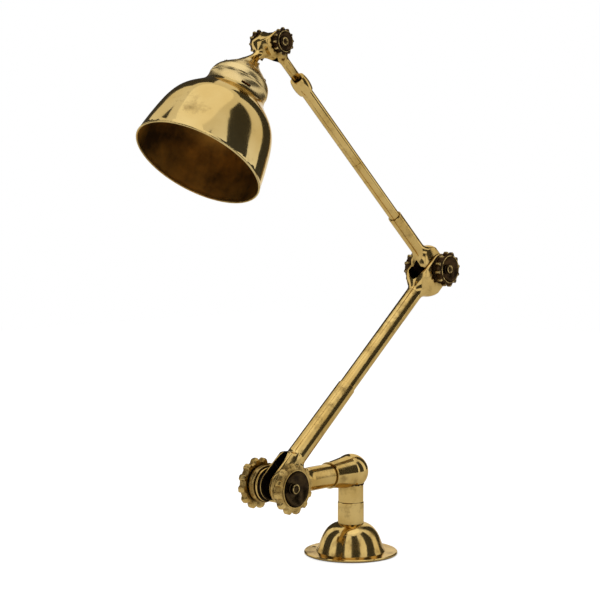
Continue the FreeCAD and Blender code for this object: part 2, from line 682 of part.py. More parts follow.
def stub_spigot_nut():
    end = NUT_SEAT_BESIDE - FACE_GAP
    return hexagon(SPIGOT_NUT_RADIUS, end - SPIGOT_NUT_HEIGHT, end, SPIGOT_RADIUS + SEATED,
                   Vector(-1, 0, 0), ball_centre())


def chamfered_tube(outer, inner, start, end):
    """Tube round local Z with both outer edges broken, so that its seams show."""
    outline = [Vector(inner, 0, start), Vector(outer - SEAM, 0, start), Vector(outer, 0, start + SEAM),
               Vector(outer, 0, end - SEAM), Vector(outer - SEAM, 0, end), Vector(inner, 0, end)]
    return turned_solid(outline)


def stub_tube():
    tube = chamfered_tube(STUB_RADIUS, STUB_BORE_RADIUS, stub_start(), STUB_REACH - SHOULDER.yoke.reach)
    return placed(tube, -90, ball_centre())


# --- Arms -----------------------------------------------------------------------------------------

def lower_sleeve():
    start = SHOULDER_FORK.reach
    bore = LOWER_TUBE_RADIUS + SEATED
    outline = [Vector(bore, 0, start), Vector(SLEEVE_RADIUS_ROOT, 0, start),
               Vector(SLEEVE_RADIUS_TIP, 0, SLEEVE_END - SEAM),
               Vector(SLEEVE_RADIUS_TIP - SEAM, 0, SLEEVE_END),
               Vector(bore, 0, SLEEVE_END)]
    return placed(turned_solid(outline), LOWER_ARM_TILT, SHOULDER_POINT)


def lower_tube():
    start, end = SLEEVE_END - SLEEVE_OVERLAP, LOWER_ARM_LENGTH - ELBOW.yoke.reach
    tube = chamfered_tube(LOWER_TUBE_RADIUS, LOWER_TUBE_RADIUS - LOWER_TUBE_WALL, start, end)
    return placed(tube, LOWER_ARM_TILT, SHOULDER_POINT)


def upper_socket():
    bore = UPPER_TUBE_RADIUS + SEATED
    narrow = bore - SOCKET_STEP
    step = SOCKET_END - SOCKET_OVERLAP
    outline = [Vector(narrow, 0, ELBOW_FORK.reach), Vector(SOCKET_RADIUS, 0, ELBOW_FORK.reach),
               Vector(SOCKET_RADIUS, 0, SOCKET_END - SEAM), Vector(SOCKET_RADIUS - SEAM, 0, SOCKET_END),
               Vector(bore, 0, SOCKET_END), Vector(bore, 0, step), Vector(narrow, 0, step)]
    return placed(turned_solid(outline), -UPPER_ARM_TILT, ELBOW_POINT)


def upper_tube_near():
    tube = chamfered_tube(UPPER_TUBE_RADIUS, UPPER_TUBE_RADIUS - UPPER_TUBE_WALL,
                          SOCKET_END - SOCKET_OVERLAP + SEATED, UPPER_TUBE_SEAM)
    return placed(tube, -UPPER_ARM_TILT, ELBOW_POINT)


def upper_tube_far():
    end = UPPER_ARM_LENGTH - FERRULE_FAR + FERRULE_TUBE_DEPTH
    tube = chamfered_tube(UPPER_TUBE_RADIUS, UPPER_TUBE_RADIUS - UPPER_TUBE_WALL, UPPER_TUBE_SEAM, end)
    return placed(tube, -UPPER_ARM_TILT, ELBOW_POINT)


def upper_tube_joiner():
    outer = UPPER_TUBE_RADIUS - UPPER_TUBE_WALL - SEATED
    joiner = ring(outer, outer - JOINER_WALL, UPPER_TUBE_SEAM - JOINER_LENGTH / 2,
                  UPPER_TUBE_SEAM + JOINER_LENGTH / 2)
    return placed(joiner, -UPPER_ARM_TILT, ELBOW_POINT)


# --- Head swivel ----------------------------------------------------------------------------------

def at_head(shape):
    """Places a shape made round local Z, which points from the head hinge back down the upper arm."""
    return placed(shape, 180 - UPPER_ARM_TILT, HEAD_POINT)


def head_ferrule():
    """Rounded collar on the end of the upper tube, bored to guide the neck."""
    middle = (FERRULE_NEAR + FERRULE_FAR) / 2
    curve = Part.Arc(Vector(FERRULE_END_RADIUS, 0, FERRULE_NEAR), Vector(FERRULE_RADIUS, 0, middle),
                     Vector(FERRULE_END_RADIUS, 0, FERRULE_FAR)).toShape()
    guide_end = FERRULE_NEAR + FERRULE_GUIDE
    tube_bore = UPPER_TUBE_RADIUS + SEATED
    edges = [curve] + polyline([
        Vector(FERRULE_END_RADIUS, 0, FERRULE_FAR), Vector(tube_bore, 0, FERRULE_FAR),
        Vector(tube_bore, 0, guide_end), Vector(NECK_RADIUS + RUNNING, 0, guide_end),
        Vector(NECK_RADIUS + RUNNING, 0, FERRULE_NEAR), Vector(FERRULE_END_RADIUS, 0, FERRULE_NEAR)])
    return at_head(face_between(edges).revolve(ORIGIN, AXIS_Z, 360))


def head_fork():
    """Inner fork of the head joint with the long neck that turns in the ferrule."""
    fork = fork_shape(HEAD_FORK, HEAD.bolt_radius + RUNNING)
    guide_end = FERRULE_NEAR + FERRULE_GUIDE
    neck = cylinder(NECK_RADIUS, HEAD_FORK.reach, guide_end + FACE_GAP)
    tail = cylinder(NECK_TAIL_RADIUS, guide_end, guide_end + FACE_GAP + NECK_TAIL)
    bore = cylinder(NECK_BORE_RADIUS, HEAD_FORK.reach - 4, FERRULE_FAR)
    return at_head(fork.fuse([neck, tail]).cut(bore))


def head_retainer():
    start = FERRULE_NEAR + FERRULE_GUIDE + FACE_GAP
    return at_head(ring(RETAINER_RADIUS, NECK_TAIL_RADIUS + SEATED, start, start + RETAINER_THICKNESS))


# --- Shade ----------------------------------------------------------------------------------------

def at_shade(shape):
    """Places a shape made round local Z, which points from the cap to the rim along the shade's axis."""
    local_x = direction(180 + SHADE_TILT + 90)
    return placed(shape, 180 + SHADE_TILT, HEAD_POINT + local_x * SHADE_OFFSET)


def yoke_end_in_shade():
    """The yoke's round end in the shade's own axes: distance off the axis, and along it."""
    bend = math.radians(YOKE_TILT - SHADE_TILT)
    reach = HEAD.yoke.reach
    return reach * math.sin(bend) - SHADE_OFFSET, reach * math.cos(bend)


def shade_stem():
    """Short curved trumpet from the yoke's round end to the cap's top."""
    bend = YOKE_TILT - SHADE_TILT
    off, along = yoke_end_in_shade()
    wires, bores = [], []
    for step in range(STEM_SECTIONS + 1):
        share = step / STEM_SECTIONS
        turn = math.radians(bend * (1 - share))
        normal = Vector(math.sin(turn), 0, math.cos(turn))
        centre = Vector(off * (1 - share) ** STEM_BEND_POWER, 0, along + (STEM_SEAT - along) * share)
        flare = share ** STEM_FLARE_POWER
        radius = HEAD.yoke.tube_radius + (STEM_END_RADIUS - HEAD.yoke.tube_radius) * flare
        wires.append(Part.Wire(Part.Circle(centre, normal, radius).toShape()))
        bores.append(Part.Wire(Part.Circle(centre, normal, STEM_BORE_RADIUS).toShape()))
    seat = cylinder(NIPPLE_RADIUS + SEATED, NIPPLE_START - FACE_GAP, STEM_SEAT + CUT_PAST)
    tools = [Part.makeLoft(bores, True, False), seat, set_screw_tool(SET_SCREW_RADIUS + SEATED)]
    return at_shade(cut_in_turn(Part.makeLoft(wires, True, False), tools))


def shade_cap():
    """Spun cap between the stem and the bell, with a groove and small screw holes."""
    shell = spun_shell(CAP_PROFILE, CAP_WALL).cut(cylinder(2 * CAP_GROOVE_RADIUS, BELL_TOP, 2 * BELL_TOP))
    top = ring(CAP_PROFILE[0][1] - CAP_TOP_INSET, NIPPLE_RADIUS + SEATED, STEM_SEAT, STEM_SEAT + CAP_WALL)
    groove = Part.makeTorus(CAP_GROOVE_RADIUS, CAP_GROOVE_DEPTH, Vector(0, 0, CAP_GROOVE_AT), AXIS_Z)
    holes = cap_screw_tools(CAP_SCREW_RADIUS + SEATED, CAP_SCREW_PAST + CUT_PAST)
    return at_shade(shell.fuse(top).cut([groove] + holes).removeSplitter())


def cap_screw_tools(radius, past):
    """Cylinders square to the cap's surface at each screw, which end past the cap's wall."""
    curve = profile_curve(CAP_PROFILE)
    level = Part.makeLine(Vector(0, 0, CAP_SCREW_AT), Vector(BELL_TOP, 0, CAP_SCREW_AT)).Curve
    crossing = curve.intersect(level)[0]
    point = Vector(crossing.X, crossing.Y, crossing.Z)
    run = curve.tangent(curve.parameter(point))[0]
    outward = Vector(run.z, 0, -run.x)
    tool = cylinder(radius, -(CAP_WALL + past), CAP_SCREW_PROUD, outward, point)
    return around(tool, CAP_SCREW_COUNT, CAP_SCREW_START_ANGLE)


def cap_screws():
    return at_shade(Part.makeCompound(cap_screw_tools(CAP_SCREW_RADIUS, CAP_SCREW_PAST)))


def set_screw_tool(radius):
    """Cylinder from the nipple's side out past the stem, round the set screw's axis."""
    turn = math.radians(SET_SCREW_ANGLE)
    outward = Vector(math.cos(turn), math.sin(turn), 0)
    return cylinder(radius, NIPPLE_RADIUS + SEATED, SET_SCREW_END, outward, Vector(0, 0, SET_SCREW_AT))


def stem_set_screw():
    """Small screw that locks the nipple in the stem."""
    return at_shade(set_screw_tool(SET_SCREW_RADIUS))


def shade_bell():
    """Bell-shaped shade with a flat top plate, vent slots round its neck and a beaded rim."""
    shell = spun_shell(BELL_PROFILE, BELL_WALL).cut(cylinder(BELL_TOP, 0, BELL_TOP))
    plate = ring(BELL_PROFILE[0][1] - BELL_TOP_INSET, NIPPLE_RADIUS + SEATED, BELL_TOP, BELL_TOP + BELL_WALL)
    rim_at, rim_radius = BELL_PROFILE[-1]
    bead = Part.makeTorus(rim_radius - BELL_WALL / 2, RIM_BEAD_RADIUS, Vector(0, 0, rim_at), AXIS_Z)
    neck_radius = BELL_PROFILE[0][1]
    vent = Part.makeBox(neck_radius, VENT_WIDTH, VENT_HEIGHT,
                        Vector(neck_radius / 2, -VENT_WIDTH / 2, VENT_AT - VENT_HEIGHT / 2))
    shape = shell.fuse([plate, bead]).cut(around(vent, VENT_COUNT, VENT_START_ANGLE))
    return at_shade(shape.removeSplitter())


# --- Lampholder -----------------------------------------------------------------------------------

def nipple():
    return at_shade(ring(NIPPLE_RADIUS, NIPPLE_BORE_RADIUS, NIPPLE_START, HOLDER_TOP + NIPPLE_IN_HOLDER))


def locknut():
    start = BELL_TOP + BELL_WALL
    return at_shade(hexagon(LOCKNUT_RADIUS, start, start + LOCKNUT_HEIGHT, NIPPLE_RADIUS + SEATED))


def holder_cap():
    end = HOLDER_TOP + HOLDER_CAP_HEIGHT
    shoulder = HOLDER_RADIUS - HOLDER_SHOULDER_INSET
    below_crown = HOLDER_TOP + HOLDER_CROWN_WALL
    outline = [Vector(NIPPLE_RADIUS + SEATED, 0, HOLDER_TOP), Vector(HOLDER_CROWN_RADIUS, 0, HOLDER_TOP),
               Vector(shoulder, 0, HOLDER_TOP + HOLDER_SHOULDER_AT),
               Vector(HOLDER_RADIUS, 0, HOLDER_TOP + HOLDER_SIDE_AT),
               Vector(HOLDER_RADIUS, 0, end), Vector(HOLDER_RADIUS - HOLDER_WALL, 0, end),
               Vector(HOLDER_RADIUS - HOLDER_WALL, 0, HOLDER_TOP + HOLDER_SIDE_AT),
               Vector(shoulder - HOLDER_WALL, 0, HOLDER_TOP + HOLDER_SHOULDER_AT + HOLDER_WALL),
               Vector(HOLDER_CROWN_RADIUS, 0, below_crown), Vector(NIPPLE_RADIUS + SEATED, 0, below_crown)]
    return at_shade(turned_solid(outline))


def holder_shell():
    start = HOLDER_TOP + HOLDER_CAP_HEIGHT
    mouth = THREAD_RADIUS + THREAD_WALL + HOLDER_MOUTH_ROOM
    outline = [Vector(HOLDER_RADIUS - HOLDER_WALL, 0, start), Vector(HOLDER_RADIUS, 0, start),
               Vector(HOLDER_RADIUS, 0, HOLDER_END), Vector(mouth, 0, HOLDER_END),
               Vector(mouth, 0, HOLDER_END - HOLDER_LIP),
               Vector(HOLDER_RADIUS - HOLDER_WALL, 0, HOLDER_END - HOLDER_LIP)]
    return at_shade(turned_solid(outline))


def thread_end():
    return HOLDER_END - CERAMIC_BELOW_END


def thread_start():
    return thread_end() - THREAD_DEPTH


def ceramic_floor():
    return thread_start() - CONTACT_ROOM


def holder_insulator():
    """Ceramic cup inside the holder's shell, whose room for the thread goes on to the contact's floor."""
    start, floor = ceramic_floor() - CERAMIC_FLOOR, ceramic_floor()
    cup = cylinder(HOLDER_RADIUS - HOLDER_WALL - SEATED, start, thread_end())
    thread_room = cylinder(THREAD_RADIUS + THREAD_WALL + SEATED, floor, HOLDER_END)
    wire_way = cylinder(WIRE_WAY_RADIUS, start - CUT_PAST, floor + CUT_PAST,
                        centre=Vector(WIRE_WAY_OFFSET, 0, 0))
    return at_shade(cup.cut([thread_room, wire_way]))


def thread_insert():
    return at_shade(ring(THREAD_RADIUS + THREAD_WALL, THREAD_RADIUS, thread_start(), thread_end()))


def centre_contact():
    return at_shade(cylinder(CONTACT_RADIUS, ceramic_floor(), ceramic_floor() + CONTACT_HEIGHT))


# --- Assembly -------------------------------------------------------------------------------------

def joint_nodes(name, joint, point, angle):
    """Bolt, washers, drums, wheels and nuts of one hinge, in place."""
    nodes = {name + "_bolt": placed(bolt_shape(joint), angle, point),
             name + "_friction_washers": placed(washers_shape(joint), angle, point)}
    for label, side in (("front", -1), ("back", 1)):
        nodes[name + "_drum_" + label] = placed(drum_shape(joint, side), angle, point)
        nodes[name + "_wheel_" + label] = placed(wheel_shape(joint, side), angle, point)
        nodes[name + "_nut_" + label] = placed(nut_shape(joint, side), angle, point)
    return nodes


def all_nodes():
    nodes = {
        "base_canopy": base_canopy(),
        "base_collar": base_collar(),
        "base_spigot": base_spigot(),
        "base_spigot_nut": base_spigot_nut(),
        "swivel_collar": swivel_collar(),
        "elbow_ball": elbow_ball(),
        "boss_ring": boss_ring(),
        "stub_spigot": stub_spigot(),
        "stub_spigot_nut": stub_spigot_nut(),
        "stub_tube": stub_tube(),
        "shoulder_yoke": placed(fork_shape(SHOULDER.yoke, SHOULDER.bolt_radius + SEATED), 90, SHOULDER_POINT),
        "shoulder_fork": placed(fork_shape(SHOULDER_FORK, SHOULDER.bolt_radius + RUNNING),
                                LOWER_ARM_TILT, SHOULDER_POINT),
        "lower_sleeve": lower_sleeve(),
        "lower_tube": lower_tube(),
        "elbow_yoke": placed(fork_shape(ELBOW.yoke, ELBOW.bolt_radius + SEATED),
                             LOWER_ARM_TILT + 180, ELBOW_POINT),
        "elbow_fork": placed(fork_shape(ELBOW_FORK, ELBOW.bolt_radius + RUNNING),
                             -UPPER_ARM_TILT, ELBOW_POINT),
        "upper_socket": upper_socket(),
        "upper_tube_near": upper_tube_near(),
        "upper_tube_far": upper_tube_far(),
        "upper_tube_joiner": upper_tube_joiner(),
        "head_ferrule": head_ferrule(),
        "head_fork": head_fork(),
        "head_retainer": head_retainer(),
        "shade_yoke": placed(fork_shape(HEAD.yoke, HEAD.bolt_radius + SEATED), 180 + YOKE_TILT, HEAD_POINT),
        "shade_stem": shade_stem(),
        "stem_set_screw": stem_set_screw(),
        "shade_cap": shade_cap(),
        "cap_screws": cap_screws(),
        "shade_bell": shade_bell(),
        "nipple": nipple(),
        "locknut": locknut(),
        "holder_cap": holder_cap(),
        "holder_shell": holder_shell(),
        "holder_insulator": holder_insulator(),
        "thread_insert": thread_insert(),
        "centre_contact": centre_contact(),
    }
    nodes.update(joint_nodes("shoulder", SHOULDER, SHOULDER_POINT, LOWER_ARM_TILT))
    nodes.update(joint_nodes("elbow", ELBOW, ELBOW_POINT, LOWER_ARM_TILT))
    nodes.update(joint_nodes("head", HEAD, HEAD_POINT, YOKE_TILT))
    return nodes


def main():
    os.makedirs("parts", exist_ok=True)
    for name, shape in all_nodes().items():
        if not shape.isValid():
            print("not valid:", name)
        print("%-26s solids %d volume %.1f" % (name, len(shape.Solids), shape.Volume))
        shape.exportStep(os.path.join("parts", name + ".step"))


main()
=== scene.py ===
"""Looks of the articulating brass lamp: finishes, detailed pieces, studio and camera.

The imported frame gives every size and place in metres. The base stands on z = 0, the stub points to
-X and all arm hinges lie along Y. New pieces are turned or swept surfaces worked out with numpy.
"""

import json
import logging
import math
from dataclasses import dataclass
from enum import Enum

import bmesh
import bpy
import numpy as np
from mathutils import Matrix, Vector


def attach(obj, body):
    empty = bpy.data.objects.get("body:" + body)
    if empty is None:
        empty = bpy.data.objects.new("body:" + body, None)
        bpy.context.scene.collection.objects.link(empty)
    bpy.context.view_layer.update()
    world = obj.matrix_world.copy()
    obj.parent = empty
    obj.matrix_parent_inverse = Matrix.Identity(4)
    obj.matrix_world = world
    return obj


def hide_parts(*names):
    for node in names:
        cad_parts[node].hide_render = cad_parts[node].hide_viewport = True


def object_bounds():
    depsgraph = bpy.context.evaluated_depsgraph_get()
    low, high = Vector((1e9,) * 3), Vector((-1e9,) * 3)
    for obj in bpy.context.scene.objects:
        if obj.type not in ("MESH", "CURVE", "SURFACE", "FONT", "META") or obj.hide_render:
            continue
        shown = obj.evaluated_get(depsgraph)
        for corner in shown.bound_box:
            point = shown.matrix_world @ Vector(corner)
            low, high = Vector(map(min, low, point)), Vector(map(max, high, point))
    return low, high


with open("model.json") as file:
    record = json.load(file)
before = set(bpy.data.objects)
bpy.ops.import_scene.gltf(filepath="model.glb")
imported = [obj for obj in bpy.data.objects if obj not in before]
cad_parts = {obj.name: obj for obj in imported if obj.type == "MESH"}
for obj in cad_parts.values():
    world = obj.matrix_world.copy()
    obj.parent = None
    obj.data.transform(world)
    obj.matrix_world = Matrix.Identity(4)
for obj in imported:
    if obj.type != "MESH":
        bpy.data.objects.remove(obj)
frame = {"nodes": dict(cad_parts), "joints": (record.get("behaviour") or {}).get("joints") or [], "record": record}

LOG = logging.getLogger("lamp")
MM = 0.001
CAD_LOW, CAD_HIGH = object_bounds()
Rgba = tuple[float, float, float, float]


# --- Places ----------------------------------------------------------------------------------------


@dataclass(frozen=True)
class LocalFrame:
    """A right-handed local frame: its z runs along the piece; turn_deg turns x from the row's Z or XZ."""

    origin: Vector
    z: Vector
    turn_deg: float = 0.0

    def matrix(self) -> np.ndarray:
        """Columns are the local x, y and z directions in the row's frame.

        Where z lies along the row's Y, x is the row's +Z leaned by turn_deg toward +X. Elsewhere y is
        as near to the row's Y as it can be.
        """
        z = np.array(self.z.normalized())
        if abs(z[1]) > 0.99:
            turn = math.radians(self.turn_deg)
            x = np.array((math.sin(turn), 0.0, math.cos(turn)))
        else:
            x = np.cross(np.array((0.0, 1.0, 0.0)), z)
            x /= np.linalg.norm(x)
        return np.column_stack((x, np.cross(z, x), z))

    def place(self, points: np.ndarray) -> np.ndarray:
        """Moves local points into the row's frame.

        Args:
            points: array of local points in metres, whose last axis is x, y, z.

        Returns:
            The same points in the row's frame.
        """
        rows = points.reshape(-1, 3) @ self.matrix().T + np.array(self.origin)
        return rows.reshape(points.shape)

    def levels(self, points: np.ndarray) -> np.ndarray:
        """Distance of each point along the local z from the origin, in metres."""
        return (points - np.array(self.origin)) @ self.matrix()[:, 2]


def joint_point(name: str) -> Vector:
    """Place of a hinge at rest, in metres."""
    return Vector(next(j["pos_m"] for j in frame["joints"] if j["name"] == name))


# --- Surfaces --------------------------------------------------------------------------------------

SHARP_DEG = 34.0        # edges that turn more than this stay crisp
TURN_STEPS = 192        # steps round a turned piece
ARC_STEPS = 6           # steps of a rounded corner
MERGE_M = 1e-7          # points nearer than this are one point
INWARD = -0.2           # a face whose normal leans further to the axis than this is inside


@dataclass(frozen=True)
class Corner:
    """One corner of a turned outline: radius and height in millimetres, and its rounding."""

    radius: float
    height: float
    rounding: float = 0.0


def rounded_outline(corners: list[Corner], closed: bool) -> np.ndarray:
    """Outline through corners, each rounded by an arc of its own radius.

    An arc of rounding q at a corner with directions a and b to its neighbours starts and ends at
    q / tan(half the angle between a and b) from the corner, and its centre lies on their bisector.

    Args:
        corners: corners in order.
        closed: whether the last corner joins the first.

    Returns:
        Array of (radius, height) rows in metres.
    """
    points = [np.array((c.radius, c.height)) for c in corners]
    rows = []
    for index, corner in enumerate(corners):
        at_end = not closed and index in (0, len(corners) - 1)
        if corner.rounding <= 0 or at_end:
            rows.append(points[index][None])
            continue
        here = points[index]
        back = points[index - 1] - here
        ahead = points[(index + 1) % len(points)] - here
        back, ahead = back / np.linalg.norm(back), ahead / np.linalg.norm(ahead)
        half = math.acos(float(np.clip(back @ ahead, -1, 1))) / 2
        bisector = (back + ahead) / np.linalg.norm(back + ahead)
        centre = here + bisector * corner.rounding / math.sin(half)
        first = here + back * corner.rounding / math.tan(half) - centre
        last = here + ahead * corner.rounding / math.tan(half) - centre
        share = np.linspace(0.0, 1.0, ARC_STEPS + 1)[:, None]
        chord = first * (1 - share) + last * share
        rows.append(centre + chord / np.linalg.norm(chord, axis=1)[:, None] * corner.rounding)
    return np.concatenate(rows) * MM


def smooth_curve(points: list[tuple[float, float]], samples: int) -> np.ndarray:
    """Natural cubic spline through (radius, height) points, by chord length.

    The second derivatives solve the usual tridiagonal equations with zero at both ends.

    Args:
        points: points in millimetres.
        samples: number of points on the result.

    Returns:
        Array of (radius, height) rows in metres.
    """
    known = np.array(points, dtype=float)
    knots = np.concatenate(([0.0], np.cumsum(np.linalg.norm(np.diff(known, axis=0), axis=1))))
    gaps = np.diff(knots)
    size = len(known)
    system = np.eye(size)
    slopes = np.zeros_like(known)
    inner = np.arange(1, size - 1)
    system[inner, inner - 1] = gaps[:-1]
    system[inner, inner] = 2 * (gaps[:-1] + gaps[1:])
    system[inner, inner + 1] = gaps[1:]
    steps = np.diff(known, axis=0) / gaps[:, None]
    slopes[1:-1] = 6 * np.diff(steps, axis=0)
    curvature = np.linalg.solve(system, slopes)
    at = np.linspace(0.0, knots[-1], samples)
    cell = np.clip(np.searchsorted(knots, at, side="right") - 1, 0, size - 2)
    gap = gaps[cell][:, None]
    left = (knots[cell + 1] - at)[:, None]
    right = (at - knots[cell])[:, None]
    value = (curvature[cell] * left**3 + curvature[cell + 1] * right**3) / (6 * gap)
    value += (known[cell] / gap - curvature[cell] * gap / 6) * left
    value += (known[cell + 1] / gap - curvature[cell + 1] * gap / 6) * right
    return value * MM


def inset_curve(outline: np.ndarray, wall: float) -> np.ndarray:
    """Curve at a wall's thickness on the axis side of another, found along its normals.

    Args:
        outline: (radius, height) rows that run away from the piece's start.
        wall: thickness in metres.

    Returns:
        The inner rows, in the same order.
    """
    run = np.gradient(outline, axis=0)
    run /= np.linalg.norm(run, axis=1)[:, None]
    return outline + np.column_stack((-run[:, 1], run[:, 0])) * wall


def grid_quads(rows: int, columns: int, wrap_rows: bool, wrap_columns: bool) -> np.ndarray:
    """Corner numbers of a grid's quads; a wrapped direction joins its last line to its first.

    Args:
        rows: number of rows of points.
        columns: number of points in a row.
        wrap_rows: whether the last row joins the first.
        wrap_columns: whether the last column joins the first.

    Returns:
        Array of face rows by face columns by four.
    """
    index = np.arange(rows * columns).reshape(rows, columns)
    here, down = (index, np.roll(index, -1, axis=0)) if wrap_rows else (index[:-1], index[1:])
    quads = np.stack((here, np.roll(here, -1, axis=1), np.roll(down, -1, axis=1), down), axis=-1)
    return quads if wrap_columns else quads[:, :-1]


def link_mesh(name: str, mesh: bpy.types.Mesh, turn_faces: bool = True) -> bpy.types.Object:
    """Merges doubled points, turns faces outward, marks sharp edges and links the object.

    Args:
        name: the object's name.
        mesh: its mesh, in the row's frame.
        turn_faces: whether the faces still have to be turned outward.

    Returns:
        The linked object, at the origin.
    """
    shape = bmesh.new()
    shape.from_mesh(mesh)
    bmesh.ops.remove_doubles(shape, verts=shape.verts, dist=MERGE_M)
    if turn_faces:
        bmesh.ops.recalc_face_normals(shape, faces=shape.faces)
    shape.to_mesh(mesh)
    shape.free()
    mesh.shade_smooth()
    mesh.set_sharp_from_angle(angle=math.radians(SHARP_DEG))
    piece = bpy.data.objects.new(name, mesh)
    bpy.context.scene.collection.objects.link(piece)
    return piece


def grid_object(name: str, grids: list[np.ndarray], wrap_rows: bool, wrap_columns: bool,
                wear: np.ndarray | None = None, row_slots: np.ndarray | None = None) -> bpy.types.Object:
    """Mesh object from one or more equal grids of points.

    Args:
        name: the object's name.
        grids: arrays of points, rows by columns by three, in the row's frame.
        wrap_rows: whether a grid's last row joins its first.
        wrap_columns: whether a grid's last column joins its first.
        wear: rubbing of each point of a grid: 1 is rubbed bright, -1 is full of grime.
        row_slots: material slot of each row of faces.

    Returns:
        The linked object, shaded smooth, at the origin.
    """
    rows, columns = grids[0].shape[:2]
    quads = grid_quads(rows, columns, wrap_rows, wrap_columns)
    slots = np.zeros(quads.shape[:2], dtype=np.int32)
    if row_slots is not None:
        slots += row_slots[:quads.shape[0], None]
    copies = np.arange(len(grids))[:, None, None] * rows * columns
    faces = (quads.reshape(1, -1, 4) + copies).reshape(-1, 4)
    mesh = bpy.data.meshes.new(name)
    mesh.vertices.add(rows * columns * len(grids))
    mesh.vertices.foreach_set("co", np.stack(grids).reshape(-1).astype(np.float32))
    mesh.loops.add(faces.size)
    mesh.loops.foreach_set("vertex_index", faces.reshape(-1).astype(np.int32))
    mesh.polygons.add(len(faces))
    mesh.polygons.foreach_set("loop_start", np.arange(0, faces.size, 4, dtype=np.int32))
    mesh.polygons.foreach_set("material_index", np.tile(slots.reshape(-1), len(grids)))
    if wear is not None:
        layer = mesh.attributes.new("wear", "FLOAT", "POINT")
        layer.data.foreach_set("value", np.tile(wear.reshape(-1), len(grids)).astype(np.float32))
    mesh.update(calc_edges=True)
    return link_mesh(name, mesh)


def coated_copy(name: str, node: str) -> bpy.types.Object:
    """Merged copy of a solid's mesh, which can then have wear and more than one finish.

    Args:
        name: the new object's name.
        node: the solid's node.

    Returns:
        The linked object.
    """
    return link_mesh(name, frame["nodes"][node].data.copy(), turn_faces=False)


def points_of(piece: bpy.types.Object) -> np.ndarray:
    """Points of a piece's mesh, one row each."""
    values = np.empty(len(piece.data.vertices) * 3, dtype=np.float32)
    piece.data.vertices.foreach_get("co", values)
    return values.reshape(-1, 3).astype(float)


def faces_of(piece: bpy.types.Object, kind: str) -> np.ndarray:
    """Centre or normal of each face of a piece's mesh, one row each."""
    values = np.empty(len(piece.data.polygons) * 3, dtype=np.float32)
    piece.data.polygons.foreach_get(kind, values)
    return values.reshape(-1, 3).astype(float)


def set_wear(piece: bpy.types.Object, wear: np.ndarray) -> None:
    """Stores the rubbing of each point: 1 is rubbed bright, -1 is full of grime."""
    layer = piece.data.attributes.new("wear", "FLOAT", "POINT")
    layer.data.foreach_set("value", wear.astype(np.float32))


def full_turn(steps: int) -> np.ndarray:
    """Equal angles once round, as one row."""
    return np.linspace(0.0, math.tau, steps, endpoint=False)[None, :]


def about_axis(radius: np.ndarray, turn: np.ndarray, height: np.ndarray) -> np.ndarray:
    """Grid of the points (radius cos turn, radius sin turn, height)."""
    columns = (radius * np.cos(turn), radius * np.sin(turn), height)
    return np.stack(np.broadcast_arrays(*columns), axis=-1)


def turned_grid(outline: np.ndarray, place: LocalFrame, steps: int = TURN_STEPS) -> np.ndarray:
    """Surface of revolution: point (i, k) is outline row i turned by k steps about the local z.

    Args:
        outline: (radius, height) rows in metres.
        place: where the piece's axis lies.
        steps: number of steps round.

    Returns:
        Grid of points in the row's frame.
    """
    return place.place(about_axis(outline[:, :1], full_turn(steps), outline[:, 1:]))


def turned_piece(name: str, outline: np.ndarray, place: LocalFrame) -> bpy.types.Object:
    """Turned object from a closed outline.

    Args:
        name: the object's name.
        outline: (radius, height) rows in metres.
        place: where the piece's axis lies.

    Returns:
        The linked object.
    """
    return grid_object(name, [turned_grid(outline, place)], True, True)


def body_of(node: str) -> str:
    """Name of the body that holds a solid."""
    bodies = frame["record"]["behaviour"]["bodies"]
    return next(body for body, nodes in bodies.items() if node in nodes)


def slot_of(node: str) -> str:
    """Material slot that the record gives a solid."""
    return next(part["material_slot"] for part in frame["record"]["subparts"] if part["node"] == node)


def stand_in(piece: bpy.types.Object, *nodes: str) -> None:
    """Puts a piece in the place of solids: on the body of the first of them, which are hidden."""
    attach(piece, body_of(nodes[0]))
    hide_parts(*nodes)


def add_trim(piece: bpy.types.Object, carrier: str) -> None:
    """Puts a small piece on the body of the solid that carries it."""
    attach(piece, body_of(carrier))


# --- Finishes --------------------------------------------------------------------------------------


